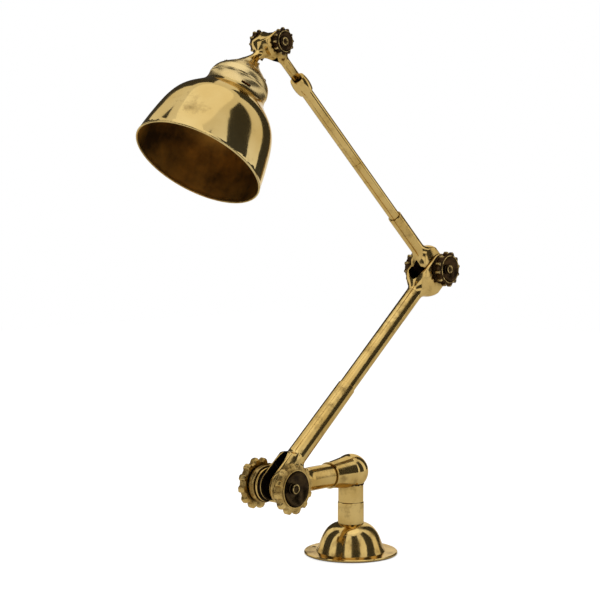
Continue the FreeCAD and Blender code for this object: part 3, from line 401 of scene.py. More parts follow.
class NodeGraph:
    """Short way to add and join shader nodes in one material or in the world."""

    def __init__(self, owner: bpy.types.Material | bpy.types.World, end: str = "OutputMaterial") -> None:
        """Empties the owner's nodes and adds its output.

        Args:
            owner: the material or world that the nodes belong to.
            end: type name of its output, after "ShaderNode".
        """
        owner.use_nodes = True
        self.owner = owner
        self.tree = owner.node_tree
        self.tree.nodes.clear()
        self.output = self.add(end)

    def add(self, kind: str, inputs: dict | None = None, **settings: object) -> bpy.types.Node:
        """Adds a node.

        Args:
            kind: the node's type name after "ShaderNode".
            inputs: values or output sockets for the node's inputs, by name or index.
            **settings: attributes to set on the node.

        Returns:
            The new node.
        """
        node = self.tree.nodes.new("ShaderNode" + kind)
        for key, value in settings.items():
            setattr(node, key, value)
        for key, value in (inputs or {}).items():
            if isinstance(value, bpy.types.NodeSocket):
                self.tree.links.new(value, node.inputs[key])
            else:
                node.inputs[key].default_value = value
        return node

    def finish(self, shader: bpy.types.Node) -> bpy.types.Material | bpy.types.World:
        """Joins the last shader to the output and gives back the owner."""
        self.tree.links.new(shader.outputs[0], self.output.inputs["Surface"])
        return self.owner

    def surface(self, inputs: dict, height: bpy.types.NodeSocket, strength: float,
                distance: float) -> bpy.types.Material:
        """Ends a material with a principled shader over a bumped surface.

        Args:
            inputs: values or output sockets for the shader's inputs, by name.
            height: height of the bumps, from 0 to 1.
            strength: share of the bumps that shows.
            distance: height of a full bump, in metres.

        Returns:
            The finished material.
        """
        bump = self.add("Bump", {"Height": height, "Strength": strength, "Distance": distance})
        return self.finish(self.add("BsdfPrincipled", inputs | {"Normal": bump.outputs[0]}))

    def noise(self, vector: bpy.types.NodeSocket, scale: float, detail: float = 4.0,
              roughness: float = 0.55) -> bpy.types.NodeSocket:
        """Fractal noise from 0 to 1 in Object coordinates.

        Args:
            vector: coordinates to read.
            scale: spots per metre.
            detail: number of octaves.
            roughness: share that each finer octave keeps.

        Returns:
            The noise's value socket.
        """
        node = self.add("TexNoise", {"Vector": vector, "Scale": scale, "Detail": detail,
                                     "Roughness": roughness})
        return node.outputs["Fac"]

    def ramp(self, value: bpy.types.NodeSocket, low: float, high: float, start: float = 0.0,
             end: float = 1.0) -> bpy.types.NodeSocket:
        """Clamped linear map of a value.

        Args:
            value: socket to read.
            low: value that gives start.
            high: value that gives end.
            start: result at low.
            end: result at high.

        Returns:
            The mapped value's socket.
        """
        node = self.add("MapRange", {"Value": value, "From Min": low, "From Max": high,
                                     "To Min": start, "To Max": end})
        return node.outputs["Result"]

    def blend(self, share: bpy.types.NodeSocket, first: object, second: object) -> bpy.types.NodeSocket:
        """Mix of two colours.

        Args:
            share: 0 gives the first colour and 1 the second.
            first: colour or socket.
            second: colour or socket.

        Returns:
            The mixed colour's socket.
        """
        node = self.add("Mix", {0: share, 6: first, 7: second}, data_type="RGBA")
        return node.outputs[2]

    def product(self, first: object, second: object) -> bpy.types.NodeSocket:
        """Product of two values."""
        return self.add("Math", {0: first, 1: second}, operation="MULTIPLY").outputs[0]

    def largest(self, first: object, second: object) -> bpy.types.NodeSocket:
        """Larger of two values."""
        return self.add("Math", {0: first, 1: second}, operation="MAXIMUM").outputs[0]

    def total(self, first: object, second: object) -> bpy.types.NodeSocket:
        """Sum of two values."""
        return self.add("Math", {0: first, 1: second}, operation="ADD").outputs[0]

    def occlusion_shade_mask(self, reach: float, closed: float, clear: float) -> bpy.types.NodeSocket:
        """Mask for painted shade from ambient occlusion: 1 in hollows and joints, where little of the sky within
        reach is free, down to 0 in the open.

        Args:
            reach: how far off a neighbouring surface still counts, in metres.
            closed: free share at which the result is 1.
            clear: free share at which it is 0.
        """
        shelter = self.add("AmbientOcclusion", {"Distance": reach}, samples=6)
        return self.ramp(shelter.outputs["AO"], closed, clear, 1.0, 0.0)

    def wear(self, start: float, end: float) -> bpy.types.NodeSocket:
        """How far a point's wear has gone from start to end, from 0 to 1; solids have no wear."""
        value = self.add("Attribute", attribute_name="wear").outputs["Fac"]
        return self.ramp(value, start, end)


def rgb(red: float, green: float, blue: float) -> Rgba:
    """Opaque colour in linear light."""
    return (red, green, blue, 1.0)


WHITE = rgb(1.0, 1.0, 1.0)


@dataclass(frozen=True)
class AgedBrass:
    """Polished brass with brown bloom in patches, fine scratches, dents, grime where its wear says, and painted
    shade near-black in its hollows and joints.
    """

    name: str
    bright: Rgba = rgb(0.68, 0.48, 0.175)
    warm: Rgba = rgb(0.52, 0.33, 0.09)
    brown: Rgba = rgb(0.11, 0.060, 0.014)
    # near-black colour of the painted shade in hollows and joints
    painted_shade_colour: Rgba = rgb(0.016, 0.010, 0.004)
    edge_tint: Rgba = rgb(0.90, 0.80, 0.62)
    # reach of the ambient occlusion that paints shade into hollows and joints
    painted_shade_reach: float = 0.014
    brown_share: float = 0.30
    roughness: float = 0.12
    patch_scale: float = 26.0
    dent_scale: float = 55.0
    dent_strength: float = 0.10
    scratches: float = 0.015
    dent_height_m: float = 0.002
    speck_scale: float = 900.0
    scratch_scale: tuple[float, float, float] = (900.0, 900.0, 60.0)
    stain_roughness: float = 0.24

    def build(self) -> bpy.types.Material:
        """Makes the finish's material and returns it."""
        graph = NodeGraph(bpy.data.materials.new(self.name))
        place = graph.add("TexCoord").outputs["Object"]
        tone = graph.noise(place, self.patch_scale, 3.0, 0.5)
        bloom = graph.noise(place, self.patch_scale * 2.3, 7.0, 0.65)
        speck = graph.noise(place, self.speck_scale, 4.0, 0.6)
        colour = graph.blend(graph.ramp(tone, 0.35, 0.68), self.bright, self.warm)
        edge = 0.74 - 0.34 * self.brown_share
        bloomed = graph.product(graph.ramp(bloom, edge - 0.12, edge + 0.16), 0.85)
        stain = graph.largest(bloomed, graph.ramp(speck, 0.68, 0.78, 0.0, 0.6))
        grime = graph.product(graph.wear(-0.05, -0.9), graph.ramp(bloom, 0.25, 0.5, 0.55, 1.0))
        stain = graph.largest(stain, grime)
        rubbed = graph.ramp(graph.wear(0.2, 1.0), 0.0, 1.0, 1.0, 0.25)
        stain = graph.product(stain, rubbed)
        colour = graph.blend(stain, colour, self.brown)
        # painted shade: ambient occlusion blends hollows and joints toward near-black
        hollow = graph.occlusion_shade_mask(self.painted_shade_reach, 0.42, 0.72)
        colour = graph.blend(hollow, colour, self.painted_shade_colour)
        stain = graph.largest(stain, hollow)
        streaked = graph.add("Mapping", {"Vector": place, "Scale": self.scratch_scale})
        scratch = graph.noise(streaked.outputs[0], 1.0, 2.0, 0.5)
        smooth = graph.ramp(tone, 0.3, 0.7, self.roughness * 0.7, self.roughness * 1.4)
        rough = graph.total(graph.product(stain, self.stain_roughness), smooth)
        dent = graph.noise(place, self.dent_scale, 2.0, 0.5)
        height = graph.total(graph.product(scratch, self.scratches), dent)
        return graph.surface({"Base Color": colour, "Metallic": 1.0, "Roughness": rough,
                              "Specular Tint": self.edge_tint}, height, self.dent_strength,
                             self.dent_height_m)


@dataclass(frozen=True)
class DarkPatina:
    """Brown-black patina over brass, rubbed through to metal on edges and in small worn patches."""

    name: str
    dark: Rgba = rgb(0.018, 0.011, 0.006)
    brown: Rgba = rgb(0.070, 0.038, 0.015)
    edge_tint: Rgba = rgb(0.55, 0.42, 0.30)
    metal: Rgba = rgb(0.58, 0.42, 0.16)
    worn: float = 0.25
    cloud_scale: float = 140.0
    roughness: float = 0.30
    metallic: float = 0.85
    worn_scale: float = 260.0
    bump_strength: float = 0.25
    bump_height_m: float = 0.001

    def build(self) -> bpy.types.Material:
        """Makes the finish's material and returns it."""
        graph = NodeGraph(bpy.data.materials.new(self.name))
        place = graph.add("TexCoord").outputs["Object"]
        cloud = graph.noise(place, self.cloud_scale, 5.0, 0.6)
        patchy = graph.noise(place, self.worn_scale, 6.0, 0.7)
        colour = graph.blend(graph.ramp(cloud, 0.35, 0.7), self.dark, self.brown)
        edge = 0.78 - 0.30 * self.worn
        bare = graph.ramp(patchy, edge - 0.03, edge + 0.06)
        rubbed = graph.product(graph.wear(0.15, 0.8), graph.ramp(patchy, 0.40, 0.56))
        bare = graph.largest(bare, rubbed)
        colour = graph.blend(bare, colour, self.metal)
        rough = graph.ramp(bare, 0.0, 1.0, self.roughness, self.roughness * 0.6)
        return graph.surface({"Base Color": colour, "Metallic": self.metallic, "Roughness": rough,
                              "Specular Tint": self.edge_tint}, cloud, self.bump_strength,
                             self.bump_height_m)


@dataclass(frozen=True)
class PlainFinish:
    """Dull finish of a hidden or small piece, with slight colour variation."""

    name: str
    first: Rgba
    second: Rgba
    metallic: float = 0.0
    roughness: float = 0.5
    scale: float = 180.0
    bump_strength: float = 0.12
    bump_height_m: float = 0.0005

    def build(self) -> bpy.types.Material:
        """Makes the finish's material and returns it."""
        graph = NodeGraph(bpy.data.materials.new(self.name))
        place = graph.add("TexCoord").outputs["Object"]
        cloud = graph.noise(place, self.scale, 4.0, 0.6)
        colour = graph.blend(graph.ramp(cloud, 0.35, 0.68), self.first, self.second)
        return graph.surface({"Base Color": colour, "Metallic": self.metallic,
                              "Roughness": self.roughness}, cloud, self.bump_strength,
                             self.bump_height_m)


class Coat(Enum):
    """The finishes that the lamp's pieces have."""

    POLISHED = AgedBrass("polished_brass")
    SHADE = AgedBrass("shade_brass", bright=rgb(0.68, 0.52, 0.23), warm=rgb(0.54, 0.37, 0.125),
                      painted_shade_reach=0.0015, patch_scale=13.0, brown_share=0.12, roughness=0.08,
                      dent_scale=28.0, dent_strength=0.05, scratches=0.004)
    CAP = AgedBrass("cap_brass", bright=rgb(0.72, 0.56, 0.28), warm=rgb(0.58, 0.42, 0.17),
                    painted_shade_reach=0.0003, patch_scale=20.0, brown_share=0.08, roughness=0.24,
                    dent_scale=28.0, dent_strength=0.04, scratches=0.004)
    WHEEL = AgedBrass("wheel_brass", brown_share=0.75, roughness=0.20, patch_scale=60.0)
    PATINA = DarkPatina("dark_brass")
    DISH = DarkPatina("dish_patina", brown=rgb(0.060, 0.038, 0.015), worn=0.2, roughness=0.24)
    # painted shade and painted reflection: dark lining with large orange clouds standing in for the glow mirrored
    # inside the shade
    LINING_SHADE_GLOW = DarkPatina("shade_lining_painted_shade_glow", dark=rgb(0.055, 0.028, 0.008), brown=rgb(0.62, 0.29, 0.040),
                        worn=0.0, cloud_scale=13.0, roughness=0.45, metallic=0.8)
    # painted shade: near-black finish for the insides of the hinge forks
    PAINTED_FORK_SHADE = DarkPatina("fork_hollow_painted_shade", dark=rgb(0.010, 0.007, 0.004), brown=rgb(0.030, 0.018, 0.008),
                      worn=0.0, roughness=0.5)
    RAW = AgedBrass("raw_brass", brown_share=0.3, roughness=0.25)
    FIBRE = PlainFinish("fibre", rgb(0.05, 0.03, 0.02), rgb(0.09, 0.06, 0.04), roughness=0.8)
    STEEL = PlainFinish("screw_steel", rgb(0.30, 0.24, 0.15), rgb(0.18, 0.13, 0.07), metallic=1.0,
                        roughness=0.35)
    CERAMIC = PlainFinish("white_ceramic", rgb(0.80, 0.77, 0.70), rgb(0.70, 0.66, 0.58), roughness=0.2)


class FinishShop:
    """Makes each finish once and gives it to pieces."""

    def __init__(self) -> None:
        """Starts with no material made."""
        self.made: dict[Coat, bpy.types.Material] = {}

    def material(self, coat: Coat) -> bpy.types.Material:
        """The material of a finish, made on first use.

        Args:
            coat: which finish.

        Returns:
            Its material.
        """
        if coat not in self.made:
            self.made[coat] = coat.value.build()
        return self.made[coat]

    def dress(self, piece: bpy.types.Object, *coats: Coat) -> None:
        """Gives a piece its finishes, one for each material slot.

        Args:
            piece: mesh object to dress.
            *coats: the finishes in the order of the mesh's slots.
        """
        numbers = np.zeros(len(piece.data.polygons), dtype=np.int32)
        piece.data.polygons.foreach_get("material_index", numbers)
        piece.data.materials.clear()
        for coat in coats:
            piece.data.materials.append(self.material(coat))
        piece.data.polygons.foreach_set("material_index", numbers % len(coats))


SLOT_COATS = {
    "polished_brass": Coat.POLISHED,
    "shade_brass": Coat.SHADE,
    "wheel_brass": Coat.WHEEL,
    "dark_brass": Coat.PATINA,
    "raw_brass": Coat.RAW,
    "fibre": Coat.FIBRE,
    "screw_steel": Coat.STEEL,
    "white_ceramic": Coat.CERAMIC,
}


def dress_solids(shop: FinishShop) -> None:
    """Gives every solid of the frame the finish of its slot in the record.

    Args:
        shop: source of the materials.
    """
    for part in frame["record"]["subparts"]:
        shop.dress(frame["nodes"][part["node"]], SLOT_COATS[part["material_slot"]])


def line_hollow(shop: FinishShop, node: str, place: LocalFrame, outer: Coat,
                inner: Coat) -> bpy.types.Object:
    """Copies a hollow solid and gives its outside one finish and its inside another.

    A face belongs to the inside where its normal points toward the piece's own axis.

    Args:
        shop: source of the materials.
        node: the solid's name.
        place: the piece's axis.
        outer: finish of the outside.
        inner: finish of the inside.

    Returns:
        The copy, which stands in for the solid.
    """
    piece = coated_copy(f"lined_{node}", node)
    axis = place.matrix()[:, 2]
    centre = faces_of(piece, "center") - np.array(place.origin)
    normal = faces_of(piece, "normal")
    outward = centre - np.outer(centre @ axis, axis)
    facing = np.einsum("ij,ij->i", outward, normal) / np.maximum(np.linalg.norm(outward, axis=1), 1e-6)
    piece.data.polygons.foreach_set("material_index", (facing < INWARD).astype(np.int32))
    shop.dress(piece, outer, inner)
    stand_in(piece, node)
    return piece


# --- Hinges ----------------------------------------------------------------------------------------


@dataclass(frozen=True)
class HollowFork:
    """One hollow fork, whose inside is painted near-black as shade."""

    node: str
    hinge: str
    toward: tuple[float, float, float]

    def build(self, shop: FinishShop) -> None:
        """Paints the fork's inward faces near-black as shade, along its own arm.

        Args:
            shop: source of the materials.
        """
        place = LocalFrame(joint_point(self.hinge), Vector(self.toward))
        line_hollow(shop, self.node, place, SLOT_COATS[slot_of(self.node)], Coat.PAINTED_FORK_SHADE)
        LOG.info("%s: dark inside", self.node)


SHADE_STEM = (-0.8171, 0.0, -0.5764)        # from the shade's hinge along its yoke
LOWER_ARM = joint_point("elbow_hinge") - joint_point("shoulder_hinge")
UPPER_ARM = joint_point("shade_hinge") - joint_point("elbow_hinge")
FORKS = (
    HollowFork("shoulder_yoke", "shoulder_hinge", (1.0, 0.0, 0.0)),
    HollowFork("shoulder_fork", "shoulder_hinge", tuple(LOWER_ARM)),
    HollowFork("elbow_yoke", "elbow_hinge", tuple(-LOWER_ARM)),
    HollowFork("elbow_fork", "elbow_hinge", tuple(UPPER_ARM)),
    HollowFork("head_fork", "shade_hinge", tuple(-UPPER_ARM)),
    HollowFork("shade_yoke", "shade_hinge", SHADE_STEM),
)


@dataclass(frozen=True)
class StarWheel:
    """Hand wheel of a hinge: a dished disc whose outer part is stretched into lobes. Millimetres."""

    tip: float
    root: float
    lip: float
    dish_depth: float
    seat: float
    bore: float
    lobe_top: float
    lobe_foot: float
    softness: float
    lobes: int = 12
    lip_height: float = 0.7
    lip_width: float = 1.3
    edge: float = 1.6
    bevel_soft: float = 0.8
    face_drop: float = 0.3
    bowl_drop: float = 0.8
    bowl_power: float = 2.3
    bowl_points: int = 9
    steps_per_lobe: int = 36

    def outline(self, start: float, front: float) -> tuple[np.ndarray, np.ndarray, np.ndarray]:
        """Closed outline from the hub's back round the edge and the lip into the dish.

        The dish falls from the lip to the nut's seat as a bowl, depth * (1 - t^power), where t runs
        from 0 at the seat to 1 at the lip.

        Args:
            start: distance of the back face from the hinge's middle, in millimetres.
            front: distance of the front face.

        Returns:
            Rows of (radius, height) in metres, the wear of each row, and the slot of each row.
        """
        inner = self.lip - self.lip_width
        crest, face = front + self.lip_height, front - self.face_drop
        soft = self.bevel_soft
        bevel = self.edge + soft
        rim = [Corner(self.bore, start), Corner(self.tip - bevel, start, soft),
               Corner(self.tip, start + bevel, self.edge), Corner(self.tip, front - bevel, self.edge),
               Corner(self.tip - bevel, face, soft), Corner(self.lip, face, 0.2),
               Corner(self.lip, crest, 0.4), Corner(inner + 0.2, crest, 0.4),
               Corner(inner, front - 0.4, 0.3)]
        body = rounded_outline(rim, False)
        share = np.linspace(1.0, 0.0, self.bowl_points)
        radius = self.seat + (inner - 0.3 - self.seat) * share
        height = front - self.bowl_drop - (self.dish_depth - self.bowl_drop) * (1 - share**self.bowl_power)
        dish = np.column_stack((radius, height)) * MM
        seat = np.array([(self.bore, front - self.dish_depth)]) * MM
        rows = np.concatenate((body, dish, seat))
        wear = np.zeros(len(rows))
        wear[rows[:, 1] > (front + 0.1) * MM] = 1.0
        wear[len(body):] = -1.0
        slots = (np.arange(len(rows)) >= len(body) - 2).astype(np.int32)
        return rows, wear, slots

    def reach(self, turn: np.ndarray) -> np.ndarray:
        """Radius of the star at each angle, in metres.

        Within a lobe's pitch the radius steps from root to tip between the shares lobe_foot and
        lobe_top of the half pitch, straight or with an eased slope as softness says.
        """
        phase = np.abs((turn * self.lobes / math.tau + 0.5) % 1.0 - 0.5) * 2
        rise = np.clip((self.lobe_foot - phase) / (self.lobe_foot - self.lobe_top), 0, 1)
        eased = rise * rise * (3 - 2 * rise)
        rise = rise * (1 - self.softness) + eased * self.softness
        return (self.root + (self.tip - self.root) * rise) * MM

    def build(self, name: str, place: LocalFrame, start: float, front: float) -> bpy.types.Object:
        """Makes the wheel: the turned outline with all beyond the lip stretched to the star.

        Args:
            name: the object's name.
            place: the hinge's axis, with z outward on the wheel's side and x along a lobe.
            start: distance of the back face from the hinge's middle, in millimetres.
            front: distance of the front face.

        Returns:
            The linked object.
        """
        rows, wear, slots = self.outline(start, front)
        turn = full_turn(self.lobes * self.steps_per_lobe)
        reach = self.reach(turn)
        radius = rows[:, :1]
        lip, tip = self.lip * MM, self.tip * MM
        stretched = lip + (radius - lip) * (reach - lip) / (tip - lip)
        radius = np.where(radius > lip, stretched, radius)
        grid = place.place(about_axis(radius, turn, rows[:, 1:]))
        lobe = (reach - self.root * MM) / (tip - self.root * MM)
        outer = np.clip((rows[:, :1] - lip) / (tip - lip), 0, 1)
        rubbed = np.where(outer > 0.6, lobe * 0.9 - (1 - lobe) * 0.5, wear[:, None])
        return grid_object(name, [grid], True, True, rubbed, slots)


@dataclass(frozen=True)
class HingeSet:
    """Wheels, nuts, bolt ends and drums of one hinge, on both sides. Millimetres."""

    title: str
    hinge: str
    tilt_deg: float
    drum_start: float
    drum_end: float
    drum_radius: float
    wheel_thickness: float
    nut_radius: float
    wheel: StarWheel
    rim_coat: Coat
    dish_coat: Coat
    face_gap: float = 0.1
    nut_gap: float = 0.1
    nut_proud: float = 0.4
    bolt_room: float = 0.1
    bolt_sunk: float = 1.3
    bolt_dome: float = 0.9
    bolt_foot: float = 2.4
    drum_step: float = 1.2
    groove_depth: float = 0.8

    def axis(self, side: int) -> LocalFrame:
        """The hinge's axis with z outward to the front (-1) or the back (+1)."""
        return LocalFrame(joint_point(self.hinge), Vector((0.0, side, 0.0)), self.tilt_deg)

    def add_wheel(self, shop: FinishShop, label: str, side: int) -> None:
        """Makes one star wheel in place of its solid."""
        start = self.drum_end + self.face_gap
        node = f"{self.title}_wheel_{label}"
        piece = self.wheel.build(f"{self.title}_star_{label}", self.axis(side), start,
                                 start + self.wheel_thickness)
        shop.dress(piece, self.rim_coat, self.dish_coat)
        stand_in(piece, node)

    def add_nut(self, shop: FinishShop, label: str, side: int) -> None:
        """Makes the ringed nut in the wheel's dish and the bolt's rounded end in its middle."""
        front = self.drum_end + self.face_gap + self.wheel_thickness
        start = front - self.wheel.dish_depth + self.nut_gap
        end, radius, bore = front + self.nut_proud, self.nut_radius, self.wheel.bore
        ring = rounded_outline([
            Corner(bore, start), Corner(radius, start, 0.3), Corner(radius, start + 1.2, 0.3),
            Corner(radius - 0.9, start + 1.6, 0.4), Corner(radius - 0.7, end, 0.7),
            Corner(radius - 2.2, end, 0.6), Corner(radius - 2.5, end - 1.0, 0.4),
            Corner(bore, end - 1.1)], True)
        axis = self.axis(side)
        nut = turned_piece(f"{self.title}_ringed_nut_{label}", ring, axis)
        shop.dress(nut, self.dish_coat)
        height = (axis.levels(points_of(nut)) - start * MM) / ((end - start) * MM)
        set_wear(nut, np.clip(height * 2.2 - 1.2, -1, 1))
        stand_in(nut, f"{self.title}_nut_{label}")
        turn = np.linspace(0.0, 1.0, 9) * math.pi / 2
        width, sunk = bore - self.bolt_room, end - self.bolt_sunk
        dome = np.column_stack((width * np.cos(turn), sunk + self.bolt_dome * np.sin(turn)))
        foot = np.array([(0.0, end - self.bolt_foot), (width, end - self.bolt_foot)])
        outline = np.concatenate((foot, dome)) * MM
        cap = turned_piece(f"{self.title}_bolt_end_{label}", outline, axis)
        shop.dress(cap, self.dish_coat)
        set_wear(cap, np.zeros(len(cap.data.vertices)))
        add_trim(cap, f"{self.title}_bolt")

    def add_drum(self, shop: FinishShop, label: str, side: int) -> None:
        """Makes the pressure drum as two rounded rings with a groove between and a step at the wheel."""
        bore, radius = self.wheel.bore, self.drum_radius
        step, groove = self.drum_end - self.drum_step, radius - self.groove_depth
        middle = (self.drum_start + step) / 2
        soft = min(0.9, (step - middle) * 0.45)
        drum = rounded_outline([
            Corner(bore, self.drum_start), Corner(radius, self.drum_start, soft),
            Corner(radius, middle - 0.25, soft * 0.7), Corner(groove, middle - 0.1),
            Corner(groove, middle + 0.1), Corner(radius - 0.2, middle + 0.25, soft * 0.7),
            Corner(radius - 0.2, step, soft), Corner(radius - 1.8, step, 0.1),
            Corner(radius - 1.8, self.drum_end), Corner(bore, self.drum_end)], True)
        piece = turned_piece(f"{self.title}_ribbed_drum_{label}", drum, self.axis(side))
        shop.dress(piece, SLOT_COATS[slot_of(f"{self.title}_drum_{label}")])
        reach = np.linalg.norm((points_of(piece) - np.array(joint_point(self.hinge)))[:, (0, 2)], axis=1)
        set_wear(piece, np.where(reach < (radius - 0.6) * MM, -0.8, 0.1))
        stand_in(piece, f"{self.title}_drum_{label}")

    def build(self, shop: FinishShop) -> None:
        """Makes every piece of the hinge.

        Args:
            shop: source of the materials.
        """
        for label, side in (("front", -1), ("back", 1)):
            self.add_wheel(shop, label, side)
            self.add_nut(shop, label, side)
            self.add_drum(shop, label, side)
        LOG.info("%s hinge: wheels, nuts and drums", self.title)


HINGES = (
    HingeSet("shoulder", "shoulder_hinge", tilt_deg=50.5, drum_start=13.8, drum_end=22.6,
             drum_radius=21.0, wheel_thickness=9.5, nut_radius=6.3, rim_coat=Coat.WHEEL,
             dish_coat=Coat.DISH,
             wheel=StarWheel(tip=29.0, root=25.4, lip=21.4, dish_depth=6.2, seat=7.8, bore=4.05,
                             lobe_top=0.28, lobe_foot=0.66, softness=1.0)),
    HingeSet("elbow", "elbow_hinge", tilt_deg=50.5, drum_start=15.5, drum_end=20.4,
             drum_radius=18.4, wheel_thickness=8.0, nut_radius=5.9, rim_coat=Coat.PATINA,
             dish_coat=Coat.PATINA,
             wheel=StarWheel(tip=22.0, root=18.6, lip=17.2, dish_depth=5.0, seat=7.4, bore=3.05,
                             lobe_top=0.10, lobe_foot=0.58, softness=0.4, edge=1.0)),
    HingeSet("head", "shade_hinge", tilt_deg=54.8, drum_start=12.0, drum_end=14.8,
             drum_radius=11.6, wheel_thickness=6.2, nut_radius=5.4, rim_coat=Coat.PATINA,
             dish_coat=Coat.PATINA,
             wheel=StarWheel(tip=15.4, root=12.9, lip=11.7, dish_depth=3.2, seat=6.6, bore=2.55,
                             lobe_top=0.10, lobe_foot=0.58, softness=0.4, edge=0.8, lip_width=1.0)),
)


@dataclass(frozen=True)
class SolderSeam:
    """Ragged dark bead where the ball meets the collar below it. Millimetres."""

    radius: float = 14.95
    level: float = 82.6
    proud: float = 0.7
    height: float = 2.0
    ragged: float = 0.7
    steps: int = 360
    bead_steps: int = 16

    def build(self, shop: FinishShop) -> None:
        """Makes the bead: a flat oval whose centre wanders up and down with three sine waves.

        Args:
            shop: source of the materials.
        """
        turn = full_turn(self.steps)
        around = full_turn(self.bead_steps).T
        wander = np.sin(turn * 11) + 0.8 * np.sin(turn * 23 + 1.0) + 0.6 * np.sin(turn * 41 + 2.0)
        radius = self.radius + self.proud * np.cos(around)
        level = self.level + self.ragged * wander / 2 + self.height / 2 * np.sin(around)
        grid = about_axis(radius, turn, level) * MM
        piece = grid_object("solder_seam", [grid], True, True)
        shop.dress(piece, Coat.PATINA)
        add_trim(piece, "elbow_ball")
        LOG.info("solder seam")


# --- Shade -----------------------------------------------------------------------------------------


@dataclass(frozen=True)
class ShadeTrim:
    """Two-faced bell and cap, screw heads and the lampholder's thread. Millimetres."""

    tilt_deg: float = 35.8
    offset: float = 13.0
    cap_screws: int = 6
    cap_screw_start_deg: float = -50.0
    cap_screw_ring: float = 27.0
    cap_screw_at: float = 57.5
    cap_screw_lean_deg: float = 44.0
    cap_screw_head: float = 1.9
    slot_turn_deg: float = 37.0
    head_height: float = 0.8
    head_doming: float = 0.7
    head_sink: float = 0.3
    slot_width: float = 0.5
    slot_soft: float = 0.15
    slot_depth: float = 0.44
    head_steps: int = 48
    head_rings: int = 14
    thread_radius: float = 13.5
    thread_wall: float = 0.8
    thread_depth: float = 26.0
    thread_end: float = 120.6
    pitch: float = 3.63
    ridge: float = 0.75
    thread_room: float = 0.2
    thread_rows: int = 140
    thread_steps: int = 96
    rim_band: float = 5.0
    neck_end: float = 86.5
    cap_points: tuple[tuple[float, float], ...] = (
        (10.8, 40.0), (15.4, 46.0), (21.4, 52.0), (27.4, 58.0), (32.0, 64.0), (33.9, 71.0))
    cap_wall: float = 1.5
    cap_bore: float = 5.02
    groove_at: tuple[float, float] = (23.0, 53.5)
    groove_depth: float = 0.7

    def place(self) -> LocalFrame:
        """The shade's axis, from the hinge's level toward the rim."""
        tilt = math.radians(self.tilt_deg)
        down = Vector((-math.sin(tilt), 0.0, -math.cos(tilt)))
        beside = Vector((-math.cos(tilt), 0.0, math.sin(tilt)))
        return LocalFrame(joint_point("shade_hinge") + beside * self.offset * MM, down)

    def add_bell(self, shop: FinishShop) -> None:
        """Gives the bell's inside the lining of painted shade and painted orange glow, rubs its rim bright and
        gives its neck the cap's softer finish.
        """
        bell = line_hollow(shop, "shade_bell", self.place(), Coat.SHADE, Coat.LINING_SHADE_GLOW)
        height = self.place().levels(points_of(bell))
        set_wear(bell, np.clip(1 + (height - height.max()) / (self.rim_band * MM), 0, 1) * 0.5)
        bell.data.materials.append(shop.material(Coat.CAP))
        level = self.place().levels(faces_of(bell, "center"))
        slots = np.empty(len(level), dtype=np.int32)
        bell.data.polygons.foreach_get("material_index", slots)
        slots[(slots == 0) & (level < self.neck_end * MM)] = 2
        bell.data.polygons.foreach_set("material_index", slots)

    def add_cap(self, shop: FinishShop) -> None:
        """Makes the spun cap: a smooth shell with a round groove and a flat top plate.

        Where an outer point is nearer to the groove's middle than its depth, it is pressed inward
        along the wall's normal by sqrt(depth^2 - distance^2).
        """
        outer = smooth_curve(self.cap_points, 260)
        inner = inset_curve(outer, self.cap_wall * MM)
        away = np.linalg.norm(outer - np.array(self.groove_at) * MM, axis=1)
        press = np.sqrt(np.clip((self.groove_depth * MM) ** 2 - away**2, 0, None))[:, None]
        outer = outer + (inner - outer) / (self.cap_wall * MM) * press
        top, plate = self.cap_points[0][1], self.cap_points[0][1] + self.cap_wall
        inner = inner[inner[:, 1] > plate * MM][::-4]
        bore = np.array(((self.cap_bore, plate), (self.cap_bore, top))) * MM
        outline = np.concatenate((outer, inner, bore))
        slots = (np.arange(len(outline)) >= len(outer)).astype(np.int32)
        grid = turned_grid(outline, self.place(), 240)
        piece = grid_object("spun_cap", [grid], True, True, row_slots=slots)
        # the cap's inside takes the lining of painted shade and painted orange glow
        shop.dress(piece, Coat.CAP, Coat.LINING_SHADE_GLOW)
        stand_in(piece, "shade_cap")

    def slotted_head(self, place: LocalFrame, radius: float, turn_deg: float) -> np.ndarray:
        """Grid of a domed screw head: height (1 - doming r^2) over the disc, less a flat-bottomed slot.

        Args:
            place: the screw's axis, with z outward at the head's seat.
            radius: the head's radius in millimetres.
            turn_deg: the slot's direction about the axis.

        Returns:
            Grid of points in the row's frame.
        """
        share = np.linspace(0.0, 1.0, self.head_rings)[:, None]
        turn = full_turn(self.head_steps)
        across = np.abs(share * radius * np.sin(turn - math.radians(turn_deg)))
        slot = np.clip((self.slot_width - across) / self.slot_soft, 0, 1) * self.slot_depth
        height = self.head_height * (1.0 - self.head_doming * share**2) - slot
        height = np.where(share > 0.999, -self.head_sink, height)
        return place.place(about_axis(share * radius, turn, height) * MM)

    def add_cap_screws(self, shop: FinishShop) -> None:
        """Puts a slotted head on each screw of the cap."""
        shade = self.place()
        axes = shade.matrix()
        lean = math.radians(self.cap_screw_lean_deg)
        grids = []
        for index in range(self.cap_screws):
            turn = math.radians(self.cap_screw_start_deg + 360.0 * index / self.cap_screws)
            outward = axes[:, 0] * math.cos(turn) + axes[:, 1] * math.sin(turn)
            normal = outward * math.cos(lean) - axes[:, 2] * math.sin(lean)
            step = outward * self.cap_screw_ring + axes[:, 2] * self.cap_screw_at
            seat = LocalFrame(Vector(np.array(shade.origin) + step * MM), Vector(normal))
            grids.append(self.slotted_head(seat, self.cap_screw_head, self.slot_turn_deg * index))
        piece = grid_object("cap_screw_heads", grids, False, True)
        shop.dress(piece, Coat.STEEL)
        add_trim(piece, "cap_screws")

